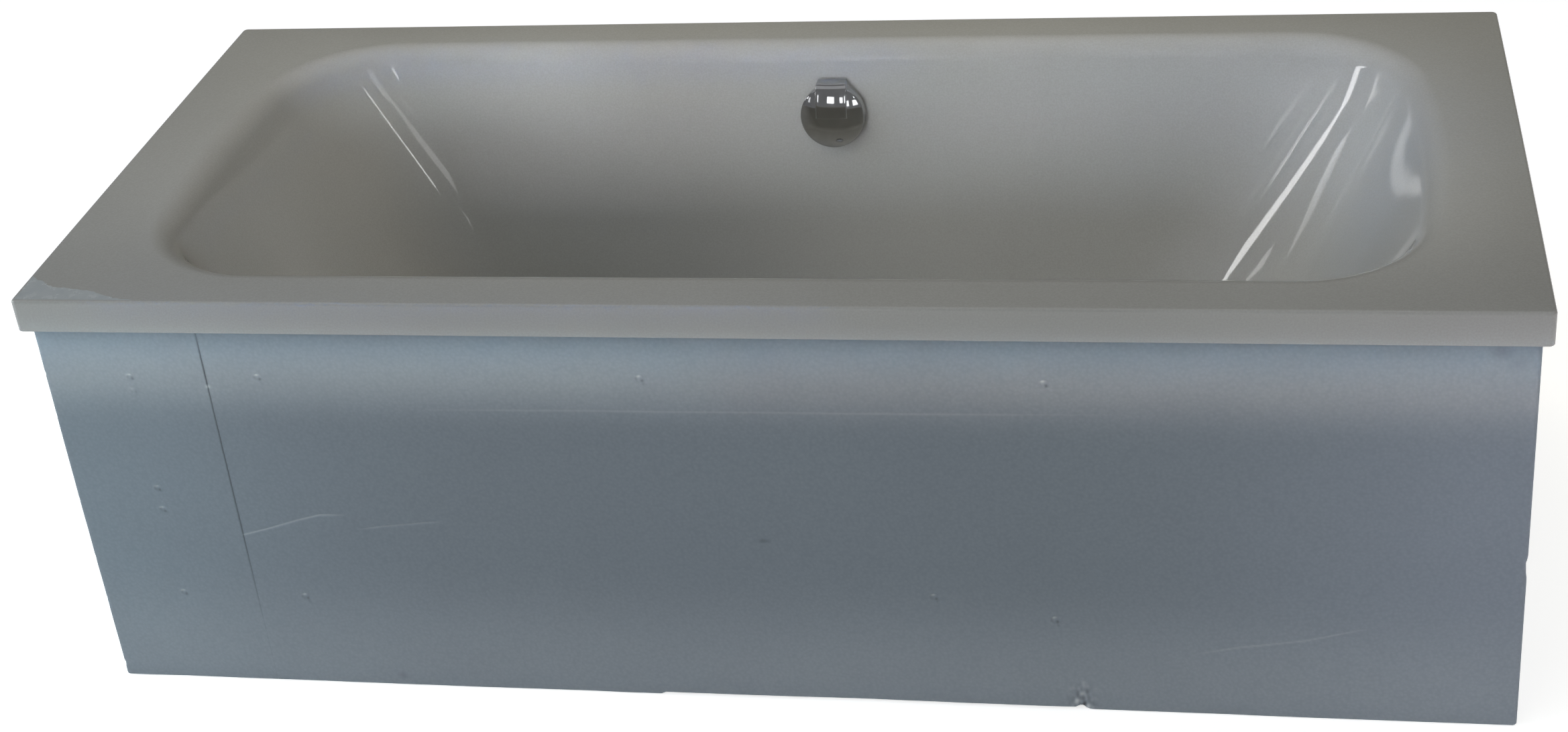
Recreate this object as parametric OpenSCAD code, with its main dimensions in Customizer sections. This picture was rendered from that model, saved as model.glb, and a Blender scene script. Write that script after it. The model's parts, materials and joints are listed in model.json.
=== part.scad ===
// Double-ended bathtub: a moulded shell on a segmented foam carrier, with a
// turning overflow knob that lifts the plug of the waste through a cable.
// X runs along the tub, the front is towards -Y, and Z = 0 is the room's floor.

/* [Tub shell] */
// Overall length of the rim
tub_l = 1800; // [1600:10:1900]
// Overall width of the rim
tub_w = 800; // [700:10:900]
// Height of the rim above the room's floor
tub_h = 580; // [540:5:640]
// Wall thickness of the shell
shell_t = 5; // [3:0.5:8]
// Height of the lip that hangs down round the rim
lip_h = 43; // [25:1:60]
// Radius of the rim's upright corners
rim_corner_r = 8; // [6:1:20]
// Radius of the rim's top edge
rim_edge_r = 4; // [1:0.5:5]

/* [Basin] */
// Height of the basin's floor above the room's floor, which the trap needs
floor_z = 150; // [147:1:170]
// Width of the flat ledge at each end
ledge_end = 88; // [70:1:140]
// Width of the flat ledge along each side
ledge_side = 58; // [50:1:90]
// Plan radius of the basin's corners at the rim
basin_corner_r = 178; // [120:1:230]
// How fast the basin's corners widen downwards, as a share of the backrest's slope
corner_growth = 0.4; // [0:0.05:0.5]
// Plan radius of the bowed ends at the rim
end_bow_r = 1500; // [1300:10:3000]
// Radius of the roll into the basin at the ends
roll_end = 40; // [15:1:60]
// Radius of the roll into the basin along the sides
roll_side = 30; // [15:1:50]
// Slope of the backrests, from upright
slope_end = 28; // [15:1:32]
// Slope of the side walls, from upright
slope_side = 8; // [4:0.5:12]
// Radius between the backrests and the floor
fillet_end = 130; // [60:1:150]
// Radius between the sides and the floor
fillet_side = 90; // [40:1:110]
// Fall of the floor towards the waste
floor_fall = 3; // [1:0.5:6]
// Depth of the round seat for the waste
seat_drop = 3; // [1:0.5:5]
// Radius of the round seat for the waste
seat_r = 40; // [37:1:50]

/* [Carrier] */
// How far the foam stands back from the outside of the lip
foam_inset = 12; // [8:1:20]
// Thickness of the foam along the sides
foam_side_t = 40; // [25:1:42]
// Thickness of the foam at the ends
foam_end_t = 60; // [30:1:70]
// Length that the left end piece wraps round the sides
wrap_l = 213; // [120:1:300]
// Outer corner radius of the foam
foam_corner_r = 6; // [2:1:15]
// Thickness of the tongues that join the foam pieces
tongue_t = 14; // [6:1:20]
// Length of the tongues that join the foam pieces
tongue_l = 18; // [8:1:22]
// Height of the foot relief under the front and the back
relief_h = 3; // [1:0.5:10]
// Left end of the foot relief
relief_x0 = -160; // [-500:5:0]
// Right end of the foot relief
relief_x1 = 373; // [200:1:700]
// Radius of the ejector marks in the foam
mark_r = 6; // [3:0.5:12]
// Depth of the ejector marks in the foam
mark_d = 1.5; // [0.5:0.5:4]
// Thickness of the board bonded under the floor
board_t = 16; // [10:1:20]
// Length of the board
board_l = 940; // [700:10:1100]
// Width of the board
board_w = 340; // [240:10:400]
// Radius of the hole in the board round the waste
board_hole_r = 58; // [46:1:80]
// Height of the cradles at the ends of the tub
cradle_h = 400; // [300:5:450]
// Clear length between the two cradles, for the trap
bay_l = 340; // [240:5:420]
// Gap left for adhesive between cradle and backrest
cradle_gap = 3; // [1:0.5:8]

/* [Overflow] */
// Depth of the overflow's centre below the rim
overflow_drop = 94; // [85:1:130]
// Diameter of the knob
knob_d = 90; // [76:1:100]
// Height of the knob's rim
knob_rim_h = 17; // [12:0.5:20]
// Height of the knob's dome above its rim
knob_dome_h = 11; // [8:0.5:14]
// Gap between the wall and the back of the knob, where water enters
knob_gap = 14; // [9:0.5:16]
// Width of the knob's finger lug
lug_w = 43; // [30:1:56]
// How far the lug stands out past the knob's edge
lug_out = 4.5; // [2:0.5:9]
// How far the lug stands over the edge of the dome
lug_rise = 2.5; // [1:0.5:5]
// Radius of the hole in the wall
overflow_hole_r = 26; // [24:0.5:28]
// Thickness of the gasket behind the wall
overflow_seal_t = 3; // [2:0.5:5]
// Depth of the cup behind the wall
cup_depth = 38; // [36:1:44]
// Radius of the knob's spindle
spindle_r = 4; // [3:0.5:5]

/* [Pipes] */
// Outer radius of the overflow pipe
pipe_r = 15; // [12:0.5:15.5]
// Outer radius of the trap's tubes
trap_r = 20; // [18:0.5:21]
// Wall thickness of pipes and fittings
pipe_t = 1.5; // [1:0.25:2]
// Wall thickness of the sockets that the nuts screw on
socket_t = 3.5; // [2.5:0.25:4]
// Length that a pipe goes into a socket
socket_l = 22; // [14:1:26]
// Depth of the cross pipe's centre below the basin's floor
cross_drop = 46; // [45:1:50]
// Centre radius of the trap's bend
bend_r = 30; // [28:1:36]
// Gap between the trap and the room's floor
trap_clear = 5; // [3:1:10]
// Length of the spigot that the house's drain pipe goes on
spigot_l = 80; // [40:1:100]

/* [Waste] */
// Radius of the hole in the floor
waste_hole_r = 26; // [25:0.5:28]
// Radius of the waste's flange
waste_flange_r = 35; // [33:0.5:39]
// Radius of the plug
plug_r = 31; // [28:0.5:33]
// Height of the plug's dome
plug_h = 7; // [5:0.5:10]
// Radius of the plug's stem
stem_r = 4; // [3:0.5:5]
// Length of the lever that lifts the plug
lever_arm = 19; // [18:0.5:20]
// Radius of the cable's sheath
cable_r = 2.5; // [2:0.25:3]

/* [Hidden] */

$fn = 64;
run_gap = 0.05;
part_gap = 0.4;
eps = 1;

acrylic = [0.62, 0.62, 0.60];
foam = [0.56, 0.60, 0.65];
chrome = [0.80, 0.82, 0.84];
plastic = [0.88, 0.88, 0.86];
rubber = [0.12, 0.12, 0.12];
steel = [0.66, 0.67, 0.69];
chipboard = [0.62, 0.50, 0.34];

// Depth and heights worked out from the tub's own sizes
rim_under_z = tub_h - shell_t;
basin_depth = tub_h - floor_z;
seat_z = floor_z - seat_drop;
seat_under_z = seat_z - shell_t;
floor_under_z = floor_z - shell_t;
board_z = floor_under_z - board_t;
cross_z = floor_z - cross_drop;

// The basin's plan at the inner edge of the flat rim
basin_a = tub_l / 2 - ledge_end;
basin_b = tub_w / 2 - ledge_side;
bow_taper = 3;
straight = 100000;

// Steps of the loft round a quarter of the plan, and down the profile
n_bow = 4;
n_corner = 9;
n_side = 2;
n_roll = 5;
n_fillet = 6;
n_quarter = n_bow + n_corner + n_side;
n_ring = 4 * n_quarter;

// Inset of a basin wall at depth d: a roll of radius r, a wall that slopes s
// degrees from upright, and a fillet of radius f that ends on a floor at depth h
function inset(d, r, f, h, s) =
    let (d1 = r * (1 - sin(s)), x1 = r * cos(s))
    let (d2 = h - f * (1 - sin(s)), x2 = x1 + (d2 - d1) * tan(s))
    let (k = d - (h - f))
    d <= 0 ? 0
        : d < d1 ? sqrt(r * r - (r - d) * (r - d))
        : d < d2 ? x1 + (d - d1) * tan(s)
        : x2 + f * cos(s) - sqrt(max(0, f * f - k * k));

function end_in(d) = inset(d, roll_end, fillet_end, basin_depth - floor_fall, slope_end);
function side_in(d) = inset(d, roll_side, fillet_side, basin_depth - floor_fall, slope_side);
function end_out(d) = inset(d - shell_t, roll_end - shell_t, fillet_end + shell_t, basin_depth, slope_end);
function side_out(d) = inset(d - shell_t, roll_side - shell_t, fillet_side + shell_t, basin_depth, slope_side);

// The plan corner follows the roll, eases into a radius that grows downwards,
// and then follows the fillet in again
roll_in = roll_side * cos(slope_side);
roll_depth = roll_side * (1 - sin(slope_side));
ease_l = 40;
max_corner = 0.94;
growth = corner_growth * tan(slope_end);
function eased(x) = x < ease_l ? x * x / (2 * ease_l) : x - ease_l / 2;
function corner_in(d) =
    let (x = max(0, d - roll_depth), wall = x * tan(slope_side))
    let (fillet = max(0, side_in(d) - roll_in - wall))
    let (r = basin_corner_r - min(side_in(d), roll_in) - wall - fillet)
    min(r + (growth + tan(slope_side)) * eased(x), max_corner * (basin_b - side_in(d)));
function corner_out(d) =
    let (e = min(d, basin_depth - floor_fall))
    corner_in(e) + max(0, side_in(e) - side_out(d));
function bow_at(i) = end_bow_r - bow_taper * i;

// Quarter of a plan outline: a bowed end of radius q, a corner of radius r and a straight side
function quarter(a, b, r, q) =
    let (cx = a - q + sqrt((q - r) * (q - r) - (b - r) * (b - r)))
    let (t0 = atan2(b - r, cx - a + q))
    concat(
        [for (i = [0:n_bow - 1]) [a - q + q * cos(t0 * i / n_bow), q * sin(t0 * i / n_bow)]],
        [for (i = [0:n_corner - 1])
            let (t = t0 + (90 - t0) * i / n_corner) [cx + r * cos(t), b - r + r * sin(t)]],
        [for (i = [0:n_side]) [cx * (1 - i / n_side), b]]);

// Whole ring at depth d, counted anticlockwise from +X
function ring(a, b, r, q, d) =
    let (h = quarter(a, b, r, q), m = n_quarter, z = tub_h - d)
    concat(
        [for (i = [0:m - 1]) [h[i][0], h[i][1], z]],
        [for (i = [m:-1:1]) [-h[i][0], h[i][1], z]],
        [for (i = [0:m - 1]) [-h[i][0], -h[i][1], z]],
        [for (i = [m:-1:1]) [h[i][0], -h[i][1], z]]);

function inner_ring(d) =
    ring(basin_a - end_in(d), basin_b - side_in(d), corner_in(d), bow_at(end_in(d)), d);
function outer_ring(d) =
    ring(basin_a - end_out(d), basin_b - side_out(d), corner_out(d), bow_at(end_out(d)), d);
function rim_ring(i, d) =
    ring(tub_l / 2 - i, tub_w / 2 - i, rim_corner_r - i, straight, d);
function seat_ring(r, d) = ring(r * 1.01, r, r * 0.8, r * 1.6, d);

// Depths of the rings, from the rim down
roll_depths = [for (i = [0:n_roll]) roll_side * (1 - cos(i / n_roll * (90 - slope_side)))];
function fillet_depths(f, h) =
    [for (i = [0:n_fillet]) h - f * (1 - cos((90 - slope_side) * (1 - i / n_fillet)))];
inner_depths = concat(roll_depths, [roll_depth + ease_l], fillet_depths(fillet_side, basin_depth - floor_fall));
outer_fillets = fillet_depths(fillet_side + shell_t, basin_depth);
outer_depths = concat(
    [for (i = [0:n_roll]) (roll_side - shell_t) * (1 - cos(i / n_roll * (90 - slope_side))) + shell_t],
    [roll_depth + ease_l],
    [for (d = outer_fillets) d + shell_t]);
n_inner = len(inner_depths);
edge_h = rim_edge_r * (1 - cos(45));

shell_rings = concat(
    [seat_ring(seat_r - 2, basin_depth + seat_drop)],
    [seat_ring(seat_r + 3, basin_depth)],
    [for (i = [n_inner - 1:-1:0]) inner_ring(inner_depths[i])],
    [rim_ring(rim_edge_r, 0), rim_ring(edge_h, edge_h), rim_ring(0, rim_edge_r), rim_ring(0, lip_h)],
    [rim_ring(shell_t, lip_h), rim_ring(shell_t, shell_t)],
    [for (d = outer_depths) outer_ring(d)],
    [seat_ring(seat_r + 5, basin_depth + shell_t)],
    [seat_ring(seat_r, basin_depth + seat_drop + shell_t)]);

// A skin of triangles over a stack of rings, closed by a flat face at each end
module loft(rings) {
    n = n_ring;
    last = len(rings) - 1;
    points = [for (r = rings) for (p = r) p];
    skin = [for (k = [0:last - 1]) for (i = [0:n - 1])
        let (j = (i + 1) % n)
        for (t = [[k * n + i, k * n + j, k * n + n + j], [k * n + i, k * n + n + j, k * n + n + i]]) t];
    caps = [[for (i = [n - 1:-1:0]) i], [for (i = [0:n - 1]) last * n + i]];
    polyhedron(points, concat(skin, caps));
}

// The overflow's own frame: its origin lies on the inner face of the rear wall,
// its Z axis points square to the wall into the basin and its Y axis up the wall
ov_y = basin_b - side_in(overflow_drop);
ov_z = tub_h - overflow_drop;
module at_overflow() {
    translate([0, ov_y, ov_z]) rotate([90 - slope_side, 0, 0]) children();
}
function ov_point(x, y, z) =
    [x, ov_y + y * sin(slope_side) - z * cos(slope_side), ov_z + y * cos(slope_side) + z * sin(slope_side)];

module tub_shell() {
    color(acrylic) difference() {
        loft(shell_rings);
        translate([0, 0, seat_under_z - eps]) cylinder(r = waste_hole_r, h = shell_t + 2 * eps);
        at_overflow() translate([0, 0, -shell_t - eps])
            cylinder(r = overflow_hole_r, h = shell_t + 2 * eps);
    }
}

board_corner_r = 40;
module base_board() {
    color(chipboard) translate([0, 0, board_z]) linear_extrude(board_t) difference() {
        union() {
            square([board_l - 2 * board_corner_r, board_w], center = true);
            square([board_l, board_w - 2 * board_corner_r], center = true);
            for (x = [-1, 1]) for (y = [-1, 1])
                translate([x * (board_l / 2 - board_corner_r), y * (board_w / 2 - board_corner_r)])
                    circle(r = board_corner_r);
        }
        circle(r = board_hole_r);
    }
}

// Faces of the foam carrier
foam_x = tub_l / 2 - foam_inset;
foam_y = tub_w / 2 - foam_inset;
foam_in_x = foam_x - foam_end_t;
foam_in_y = foam_y - foam_side_t;
seam_x = -foam_x + wrap_l;
foam_h = rim_under_z;
tongue_y = foam_y - foam_side_t / 2;
tongue_x = foam_x - foam_end_t / 2;
side_tongue_l = min(tongue_l, foam_side_t / 3);

// Ejector marks on the front, as distances from the tub's centre and heights
panel_marks = [[-607, 469], [-131, 474], [343, 474], [-610, 139], [344, 144], [199, 167]];
wrap_marks = [[-774, 467], [-778, 295], [-780, 138]];
module mark(p) {
    translate([p[0], -foam_y - eps, p[1]]) rotate([-90, 0, 0]) cylinder(r = mark_r, h = mark_d + eps);
}

// A side panel's plan, drawn for the front: it runs from the seam to the right end
module side_plan() {
    difference() {
        union() {
            translate([seam_x, -foam_y]) square([foam_x - foam_corner_r - seam_x, foam_side_t]);
            translate([foam_x - foam_corner_r - eps, -foam_y + foam_corner_r])
                square([foam_corner_r + eps, foam_side_t - foam_corner_r]);
            translate([foam_x - foam_corner_r, -foam_y + foam_corner_r]) circle(r = foam_corner_r);
        }
        translate([seam_x - eps, -tongue_y - tongue_t / 2 - run_gap])
            square([tongue_l + eps, tongue_t + 2 * run_gap]);
        translate([tongue_x - tongue_t / 2 - run_gap, -foam_in_y - side_tongue_l])
            square([tongue_t + 2 * run_gap, side_tongue_l + eps]);
    }
}

module foot_relief() {
    translate([relief_x0, -foam_y - eps, -eps])
        cube([relief_x1 - relief_x0, foam_side_t + 2 * eps, relief_h + eps]);
}

module carrier_front_panel() {
    color(foam) difference() {
        linear_extrude(foam_h) side_plan();
        foot_relief();
        for (p = panel_marks) mark(p);
    }
}

// The back panel has a chase for the overflow's pipe and a way out for the drain
chase_w = 124;
chase_wall = 14;
chase_top = ov_z + 55;
drain_x0 = -5;
drain_x1 = 125;
drain_top = 150;
module carrier_back_panel() {
    color(foam) difference() {
        mirror([0, 1, 0]) linear_extrude(foam_h) side_plan();
        mirror([0, 1, 0]) foot_relief();
        translate([-chase_w / 2, foam_in_y - eps, -eps])
            cube([chase_w, foam_side_t - chase_wall + eps, chase_top + eps]);
        translate([drain_x0, foam_in_y - eps, -eps])
            cube([drain_x1 - drain_x0, foam_side_t + 2 * eps, drain_top + eps]);
    }
}

// The left end wraps round both corners and ends in a tongue on each side
module left_plan() {
    difference() {
        union() {
            translate([-foam_x, -foam_y + foam_corner_r])
                square([wrap_l, 2 * (foam_y - foam_corner_r)]);
            translate([-foam_x + foam_corner_r, -foam_y]) square([wrap_l - foam_corner_r, 2 * foam_y]);
            for (y = [-1, 1]) translate([-foam_x + foam_corner_r, y * (foam_y - foam_corner_r)])
                circle(r = foam_corner_r);
        }
        translate([-foam_in_x, -foam_in_y]) square([wrap_l, 2 * foam_in_y]);
    }
    for (y = [-1, 1]) translate([seam_x - eps, y * tongue_y - tongue_t / 2])
        square([tongue_l + eps, tongue_t]);
}

module carrier_left_end() {
    color(foam) difference() {
        linear_extrude(foam_h) left_plan();
        for (p = wrap_marks) mark(p);
    }
}

module carrier_right_end() {
    color(foam) linear_extrude(foam_h) {
        translate([foam_in_x, -foam_in_y]) square([foam_end_t, 2 * foam_in_y]);
        for (y = [-1, 1]) translate([tongue_x, y * foam_in_y])
            square([tongue_t, 2 * side_tongue_l], center = true);
    }
}

// A cradle is a chaise of foam: flat under the board, then up behind the backrest
n_saddle = 14;
board_depth = tub_h - board_z;
saddle_top_d = tub_h - cradle_h;
saddle = [for (i = [0:n_saddle])
    let (d = saddle_top_d + (basin_depth + shell_t - saddle_top_d) * sin(90 * i / n_saddle))
    [basin_a - end_out(d) + cradle_gap, tub_h - d - cradle_gap]];
cradle_plan = concat(
    [[bay_l / 2, 0], [foam_in_x, 0], [foam_in_x, cradle_h - cradle_gap]],
    saddle,
    [[board_l / 2 + cradle_gap, floor_under_z - cradle_gap], [board_l / 2 + cradle_gap, board_z]],
    [[bay_l / 2, board_z]]);
module cradle() {
    translate([0, foam_in_y, 0]) rotate([90, 0, 0]) linear_extrude(2 * foam_in_y) polygon(cradle_plan);
}
module carrier_right_cradle() {
    color(foam) cradle();
}
module carrier_left_cradle() {
    color(foam) mirror([1, 0, 0]) cradle();
}

// Knob: a shallow dome with a finger lug, hollow behind, on a hub
knob_r = knob_d / 2;
knob_t = 2.5;
hub_r = spindle_r + 4;
function cap_radius(r, h) = (r * r + h * h) / (2 * h);
dome_r = cap_radius(knob_r, knob_dome_h);
lug_dome_r = cap_radius(knob_r, knob_dome_h - lug_rise);
knob_top = knob_gap + knob_rim_h + knob_dome_h;
module knob_form() {
    intersection() {
        translate([0, 0, knob_gap]) cylinder(r = knob_r, h = knob_rim_h + knob_dome_h);
        translate([0, 0, knob_top - dome_r]) sphere(r = dome_r, $fn = 128);
    }
}

// The lug is a band of flatter dome that runs from the knob's centre out past its edge
module knob_lug() {
    intersection() {
        translate([-lug_w / 2, 0, knob_gap]) cube([lug_w, knob_r + lug_out, knob_rim_h + knob_dome_h]);
        translate([0, 0, knob_top - lug_dome_r]) sphere(r = lug_dome_r, $fn = 128);
    }
}
module overflow_knob() {
    color(chrome) at_overflow() difference() {
        union() {
            difference() {
                union() {
                    knob_form();
                    knob_lug();
                }
                translate([0, 0, knob_gap - eps]) cylinder(r = knob_r - knob_t, h = knob_rim_h - knob_t + eps);
            }
            translate([0, 0, knob_gap - 1.5]) cylinder(r = hub_r, h = knob_rim_h);
        }
        translate([0, 0, knob_gap - 2 * eps]) cylinder(r = spindle_r, h = knob_rim_h + 2 * eps);
    }
}

// Depths behind the wall, all measured along the overflow's axis
seal_back = shell_t + overflow_seal_t;
body_flange_t = 4;
body_wall = 3;
cup_r = overflow_hole_r + 2;
cup_back = seal_back + cup_depth;
seal_r = overflow_hole_r + 10;
drive_r = 20;
drive_depth = 13;
drive_back = cup_back + drive_depth;
cover_t = 2.5;
cam_t = 6;
cam_front = cup_back + 3;
pipe_off = seal_back + cup_depth / 2 + 1.5;
thread_r = pipe_r + socket_t;
socket_end = cup_r + 26;
spindle_top = knob_gap + knob_rim_h;

module knob_spindle() {
    color(steel) at_overflow() translate([0, 0, -cam_front - cam_t])
        cylinder(r = spindle_r, h = cam_front + cam_t + spindle_top);
}

cam_r = drive_r - body_wall - 2;
module drive_cam() {
    color(plastic) at_overflow() difference() {
        union() {
            translate([0, 0, -cam_front - cam_t]) cylinder(r = cam_r, h = cam_t);
            translate([-cam_r + 4, 0, -cam_front - cam_t - 1.5]) cylinder(r = 2, h = 1.5 + eps);
        }
        translate([0, 0, -cam_front - cam_t - eps]) cylinder(r = spindle_r, h = cam_t + 2 * eps);
    }
}

// Flange inside the basin: a ring with three water windows round a bearing hub
flange_t = 3;
flange_r = overflow_hole_r + 7;
screw_x = 18;
screw_r = 2;
window_r0 = hub_r + 2.5;
window_r1 = overflow_hole_r - 3;
module flange_windows() {
    difference() {
        cylinder(r = window_r1, h = flange_t + 2 * eps);
        translate([0, 0, -eps]) cylinder(r = window_r0, h = flange_t + 4 * eps);
        for (x = [-1, 1]) translate([x * screw_x, 0, flange_t / 2 + eps])
            cube([16, 13, flange_t + 4 * eps], center = true);
    }
}
module overflow_flange() {
    color(steel) at_overflow() difference() {
        union() {
            difference() {
                cylinder(r = flange_r, h = flange_t);
                translate([0, 0, -eps]) flange_windows();
            }
            translate([0, 0, -flange_t]) cylinder(r = hub_r, h = 3 * flange_t - 1);
        }
        translate([0, 0, -flange_t - eps]) cylinder(r = spindle_r + run_gap, h = 4 * flange_t);
        for (x = [-1, 1]) translate([x * screw_x, 0, -eps])
            cylinder(r = screw_r + 0.2, h = flange_t + 2 * eps);
    }
}

screw_l = 22;
screw_head_r = 4;
screw_head_h = 2.4;
module overflow_screws() {
    color(steel) at_overflow() for (x = [-1, 1]) translate([x * screw_x, 0, 0]) difference() {
        union() {
            translate([0, 0, flange_t - screw_l]) cylinder(r = screw_r, h = screw_l);
            translate([0, 0, flange_t]) cylinder(r = screw_head_r, h = screw_head_h);
        }
        translate([0, 0, flange_t + screw_head_h / 2 + 0.5])
            cube([2 * screw_head_r + eps, 1, screw_head_h], center = true);
    }
}

// Profile gasket: a flat ring with a lip that centres it in the hole
module overflow_seal() {
    color(rubber) at_overflow() rotate_extrude() polygon([
        [overflow_hole_r - 1.5, -seal_back], [seal_r, -seal_back], [seal_r, -shell_t],
        [overflow_hole_r, -shell_t], [overflow_hole_r, -1], [overflow_hole_r - 1.5, -1]]);
}

gland_x = -12;
gland_r = cable_r + 2.5;
gland_end = drive_r + 12;
gland_off = drive_back - gland_r - 0.5;
wire_r = 1;
boss_r = screw_r + 2.5;
module socket_bore(r, t, inner, end) {
    cylinder(r = r - t, h = end);
    translate([0, 0, end - inner]) cylinder(r = r + run_gap, h = inner + eps);
}
module overflow_body() {
    cup_in = overflow_hole_r - 1.5;
    color(plastic) at_overflow() difference() {
        union() {
            difference() {
                union() {
                    translate([0, 0, -seal_back - body_flange_t]) cylinder(r = seal_r, h = body_flange_t);
                    translate([0, 0, -cup_back]) cylinder(r = cup_r, h = cup_depth);
                    translate([0, 0, -drive_back]) cylinder(r = drive_r, h = drive_depth + eps);
                    translate([0, 0, -pipe_off]) rotate([90, 0, 0]) cylinder(r = thread_r, h = socket_end);
                    translate([gland_x, 0, -gland_off]) rotate([90, 0, 0])
                        cylinder(r = gland_r, h = gland_end);
                }
                translate([0, 0, -cup_back + body_wall]) cylinder(r = cup_in, h = cup_depth);
                translate([0, 0, -drive_back - eps])
                    cylinder(r = drive_r - body_wall, h = drive_depth + eps - body_wall + 2);
                translate([0, 0, -pipe_off]) rotate([90, 0, 0])
                    socket_bore(pipe_r, pipe_t, socket_l, socket_end);
                translate([gland_x, 0, -gland_off]) rotate([90, 0, 0])
                    cylinder(r = wire_r, h = gland_end + eps);
            }
            for (x = [-1, 1]) translate([x * screw_x, 0, -cup_back + eps])
                cylinder(r = boss_r, h = cup_back - eps);
        }
        translate([0, 0, -cup_back - body_wall]) cylinder(r = spindle_r + run_gap, h = 3 * body_wall);
        for (x = [-1, 1]) translate([x * screw_x, 0, flange_t - screw_l])
            cylinder(r = screw_r, h = screw_l);
    }
}

module drive_cover() {
    color(plastic) at_overflow() union() {
        translate([0, 0, -drive_back - cover_t]) cylinder(r = drive_r, h = cover_t);
        difference() {
            translate([0, 0, -drive_back - eps]) cylinder(r = drive_r - body_wall - run_gap, h = eps + 2);
            translate([0, 0, -drive_back]) cylinder(r = drive_r - body_wall - 1.2, h = 3 * eps);
        }
    }
}

// A union nut on a socket whose mouth is at z = 0 and faces +z
nut_wall = 3;
nut_grip = 13;
nut_face = 3;
washer_t = 2;
n_ribs = 10;
module union_nut(r) {
    outer_r = r + socket_t + nut_wall;
    nut_h = nut_grip + washer_t + nut_face;
    color(plastic) difference() {
        union() {
            translate([0, 0, -nut_grip]) cylinder(r = outer_r, h = nut_h);
            for (i = [0:n_ribs - 1]) rotate([0, 0, i * 360 / n_ribs])
                translate([outer_r - 0.6, 0, -nut_grip + 1]) cylinder(r = 1.4, h = nut_h - 4, $fn = 24);
        }
        translate([0, 0, -nut_grip - eps]) cylinder(r = r + socket_t + run_gap, h = nut_grip + washer_t + eps);
        cylinder(r = r + part_gap, h = nut_h);
    }
}
module washer(r) {
    difference() {
        cylinder(r = r + socket_t, h = washer_t);
        translate([0, 0, -eps]) cylinder(r = r, h = washer_t + 2 * eps);
    }
}

// The elbow stands where the overflow pipe's axis comes down to the cross pipe
pipe_top = ov_point(0, 0, -pipe_off);
elbow_y = pipe_top[1] - (pipe_top[2] - cross_z) * tan(slope_side);
elbow_l = 40;
drop_l = (pipe_top[2] - cross_z) / cos(slope_side);
module at_elbow_up() {
    translate([0, elbow_y, cross_z]) rotate([-slope_side, 0, 0]) children();
}
module at_elbow_out() {
    translate([0, elbow_y, cross_z]) rotate([90, 0, 0]) children();
}
module pipe_length(l) {
    difference() {
        cylinder(r = pipe_r, h = l);
        translate([0, 0, -eps]) cylinder(r = pipe_r - pipe_t, h = l + 2 * eps);
    }
}
module at_top_socket() {
    at_overflow() translate([0, -socket_end, -pipe_off]) rotate([90, 0, 0]) children();
}
module overflow_top_nut() {
    at_top_socket() union_nut(pipe_r);
}
module overflow_pipe() {
    color(plastic) at_elbow_up() translate([0, 0, elbow_l - socket_l])
        pipe_length(drop_l - socket_end + socket_l - elbow_l + socket_l);
}
module elbow_upper_nut() {
    at_elbow_up() translate([0, 0, elbow_l]) union_nut(pipe_r);
}
module elbow_outlet_nut() {
    at_elbow_out() translate([0, 0, elbow_l]) union_nut(pipe_r);
}
module overflow_elbow() {
    color(plastic) difference() {
        union() {
            at_elbow_up() cylinder(r = thread_r, h = elbow_l);
            at_elbow_out() cylinder(r = thread_r, h = elbow_l);
            translate([0, elbow_y, cross_z]) sphere(r = thread_r + 1);
        }
        at_elbow_up() socket_bore(pipe_r, pipe_t, socket_l, elbow_l);
        at_elbow_out() socket_bore(pipe_r, pipe_t, socket_l, elbow_l);
        translate([0, elbow_y, cross_z]) sphere(r = pipe_r - pipe_t + 0.7);
    }
}

// Waste: a body under the floor, held by the chrome flange that screws into it
body_seal_t = 3;
body_top = seat_under_z - body_seal_t;
waste_r = waste_hole_r + 4;
waste_in_r = waste_r - body_wall;
body_collar_r = waste_r + 8;
body_low = cross_z - pipe_r - 5;
port_end = waste_r + 32;
throat_r = waste_hole_r - 0.5;
throat_in_r = throat_r - 2.5;
thread_d = 9;
flange_seal_t = 1.5;
flange_z = seat_z + flange_seal_t;
waste_flange_t = 3;
spider_h = 6;
throat_low = body_top - thread_d + 2;

module at_port() {
    translate([0, port_end, cross_z]) rotate([-90, 0, 0]) children();
}
module cross_pipe() {
    color(plastic) translate([0, port_end - socket_l, cross_z]) rotate([-90, 0, 0])
        pipe_length(elbow_y - elbow_l + socket_l - port_end + socket_l);
}
module cross_pipe_nut() {
    at_port() union_nut(pipe_r);
}
module pipe_washers() {
    color(rubber) {
        at_top_socket() washer(pipe_r);
        at_elbow_up() translate([0, 0, elbow_l]) washer(pipe_r);
        at_elbow_out() translate([0, 0, elbow_l]) washer(pipe_r);
        at_port() washer(pipe_r);
    }
}

module waste_flange() {
    color(chrome) translate([0, 0, flange_z]) union() {
        rotate_extrude() polygon([
            [throat_in_r, throat_low - flange_z], [throat_r, throat_low - flange_z], [throat_r, 0],
            [waste_flange_r, 0], [waste_flange_r, 1], [waste_flange_r - 2, 2.4],
            [waste_flange_r - 6, waste_flange_t], [throat_in_r + 2, waste_flange_t], [throat_in_r, 1]]);
        translate([0, 0, throat_low - flange_z]) difference() {
            union() {
                cylinder(r = stem_r + 3, h = spider_h);
                for (i = [0:2]) rotate([0, 0, 60 + i * 120]) translate([0, -1.5, 0])
                    cube([throat_in_r + 1, 3, spider_h - 2]);
            }
            translate([0, 0, -eps]) cylinder(r = stem_r + run_gap, h = spider_h + 2 * eps);
        }
    }
}
module waste_flange_seal() {
    color(plastic) translate([0, 0, seat_z]) difference() {
        cylinder(r = waste_flange_r - 1, h = flange_seal_t);
        translate([0, 0, -eps]) cylinder(r = waste_hole_r + 1, h = flange_seal_t + 2 * eps);
    }
}
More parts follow.
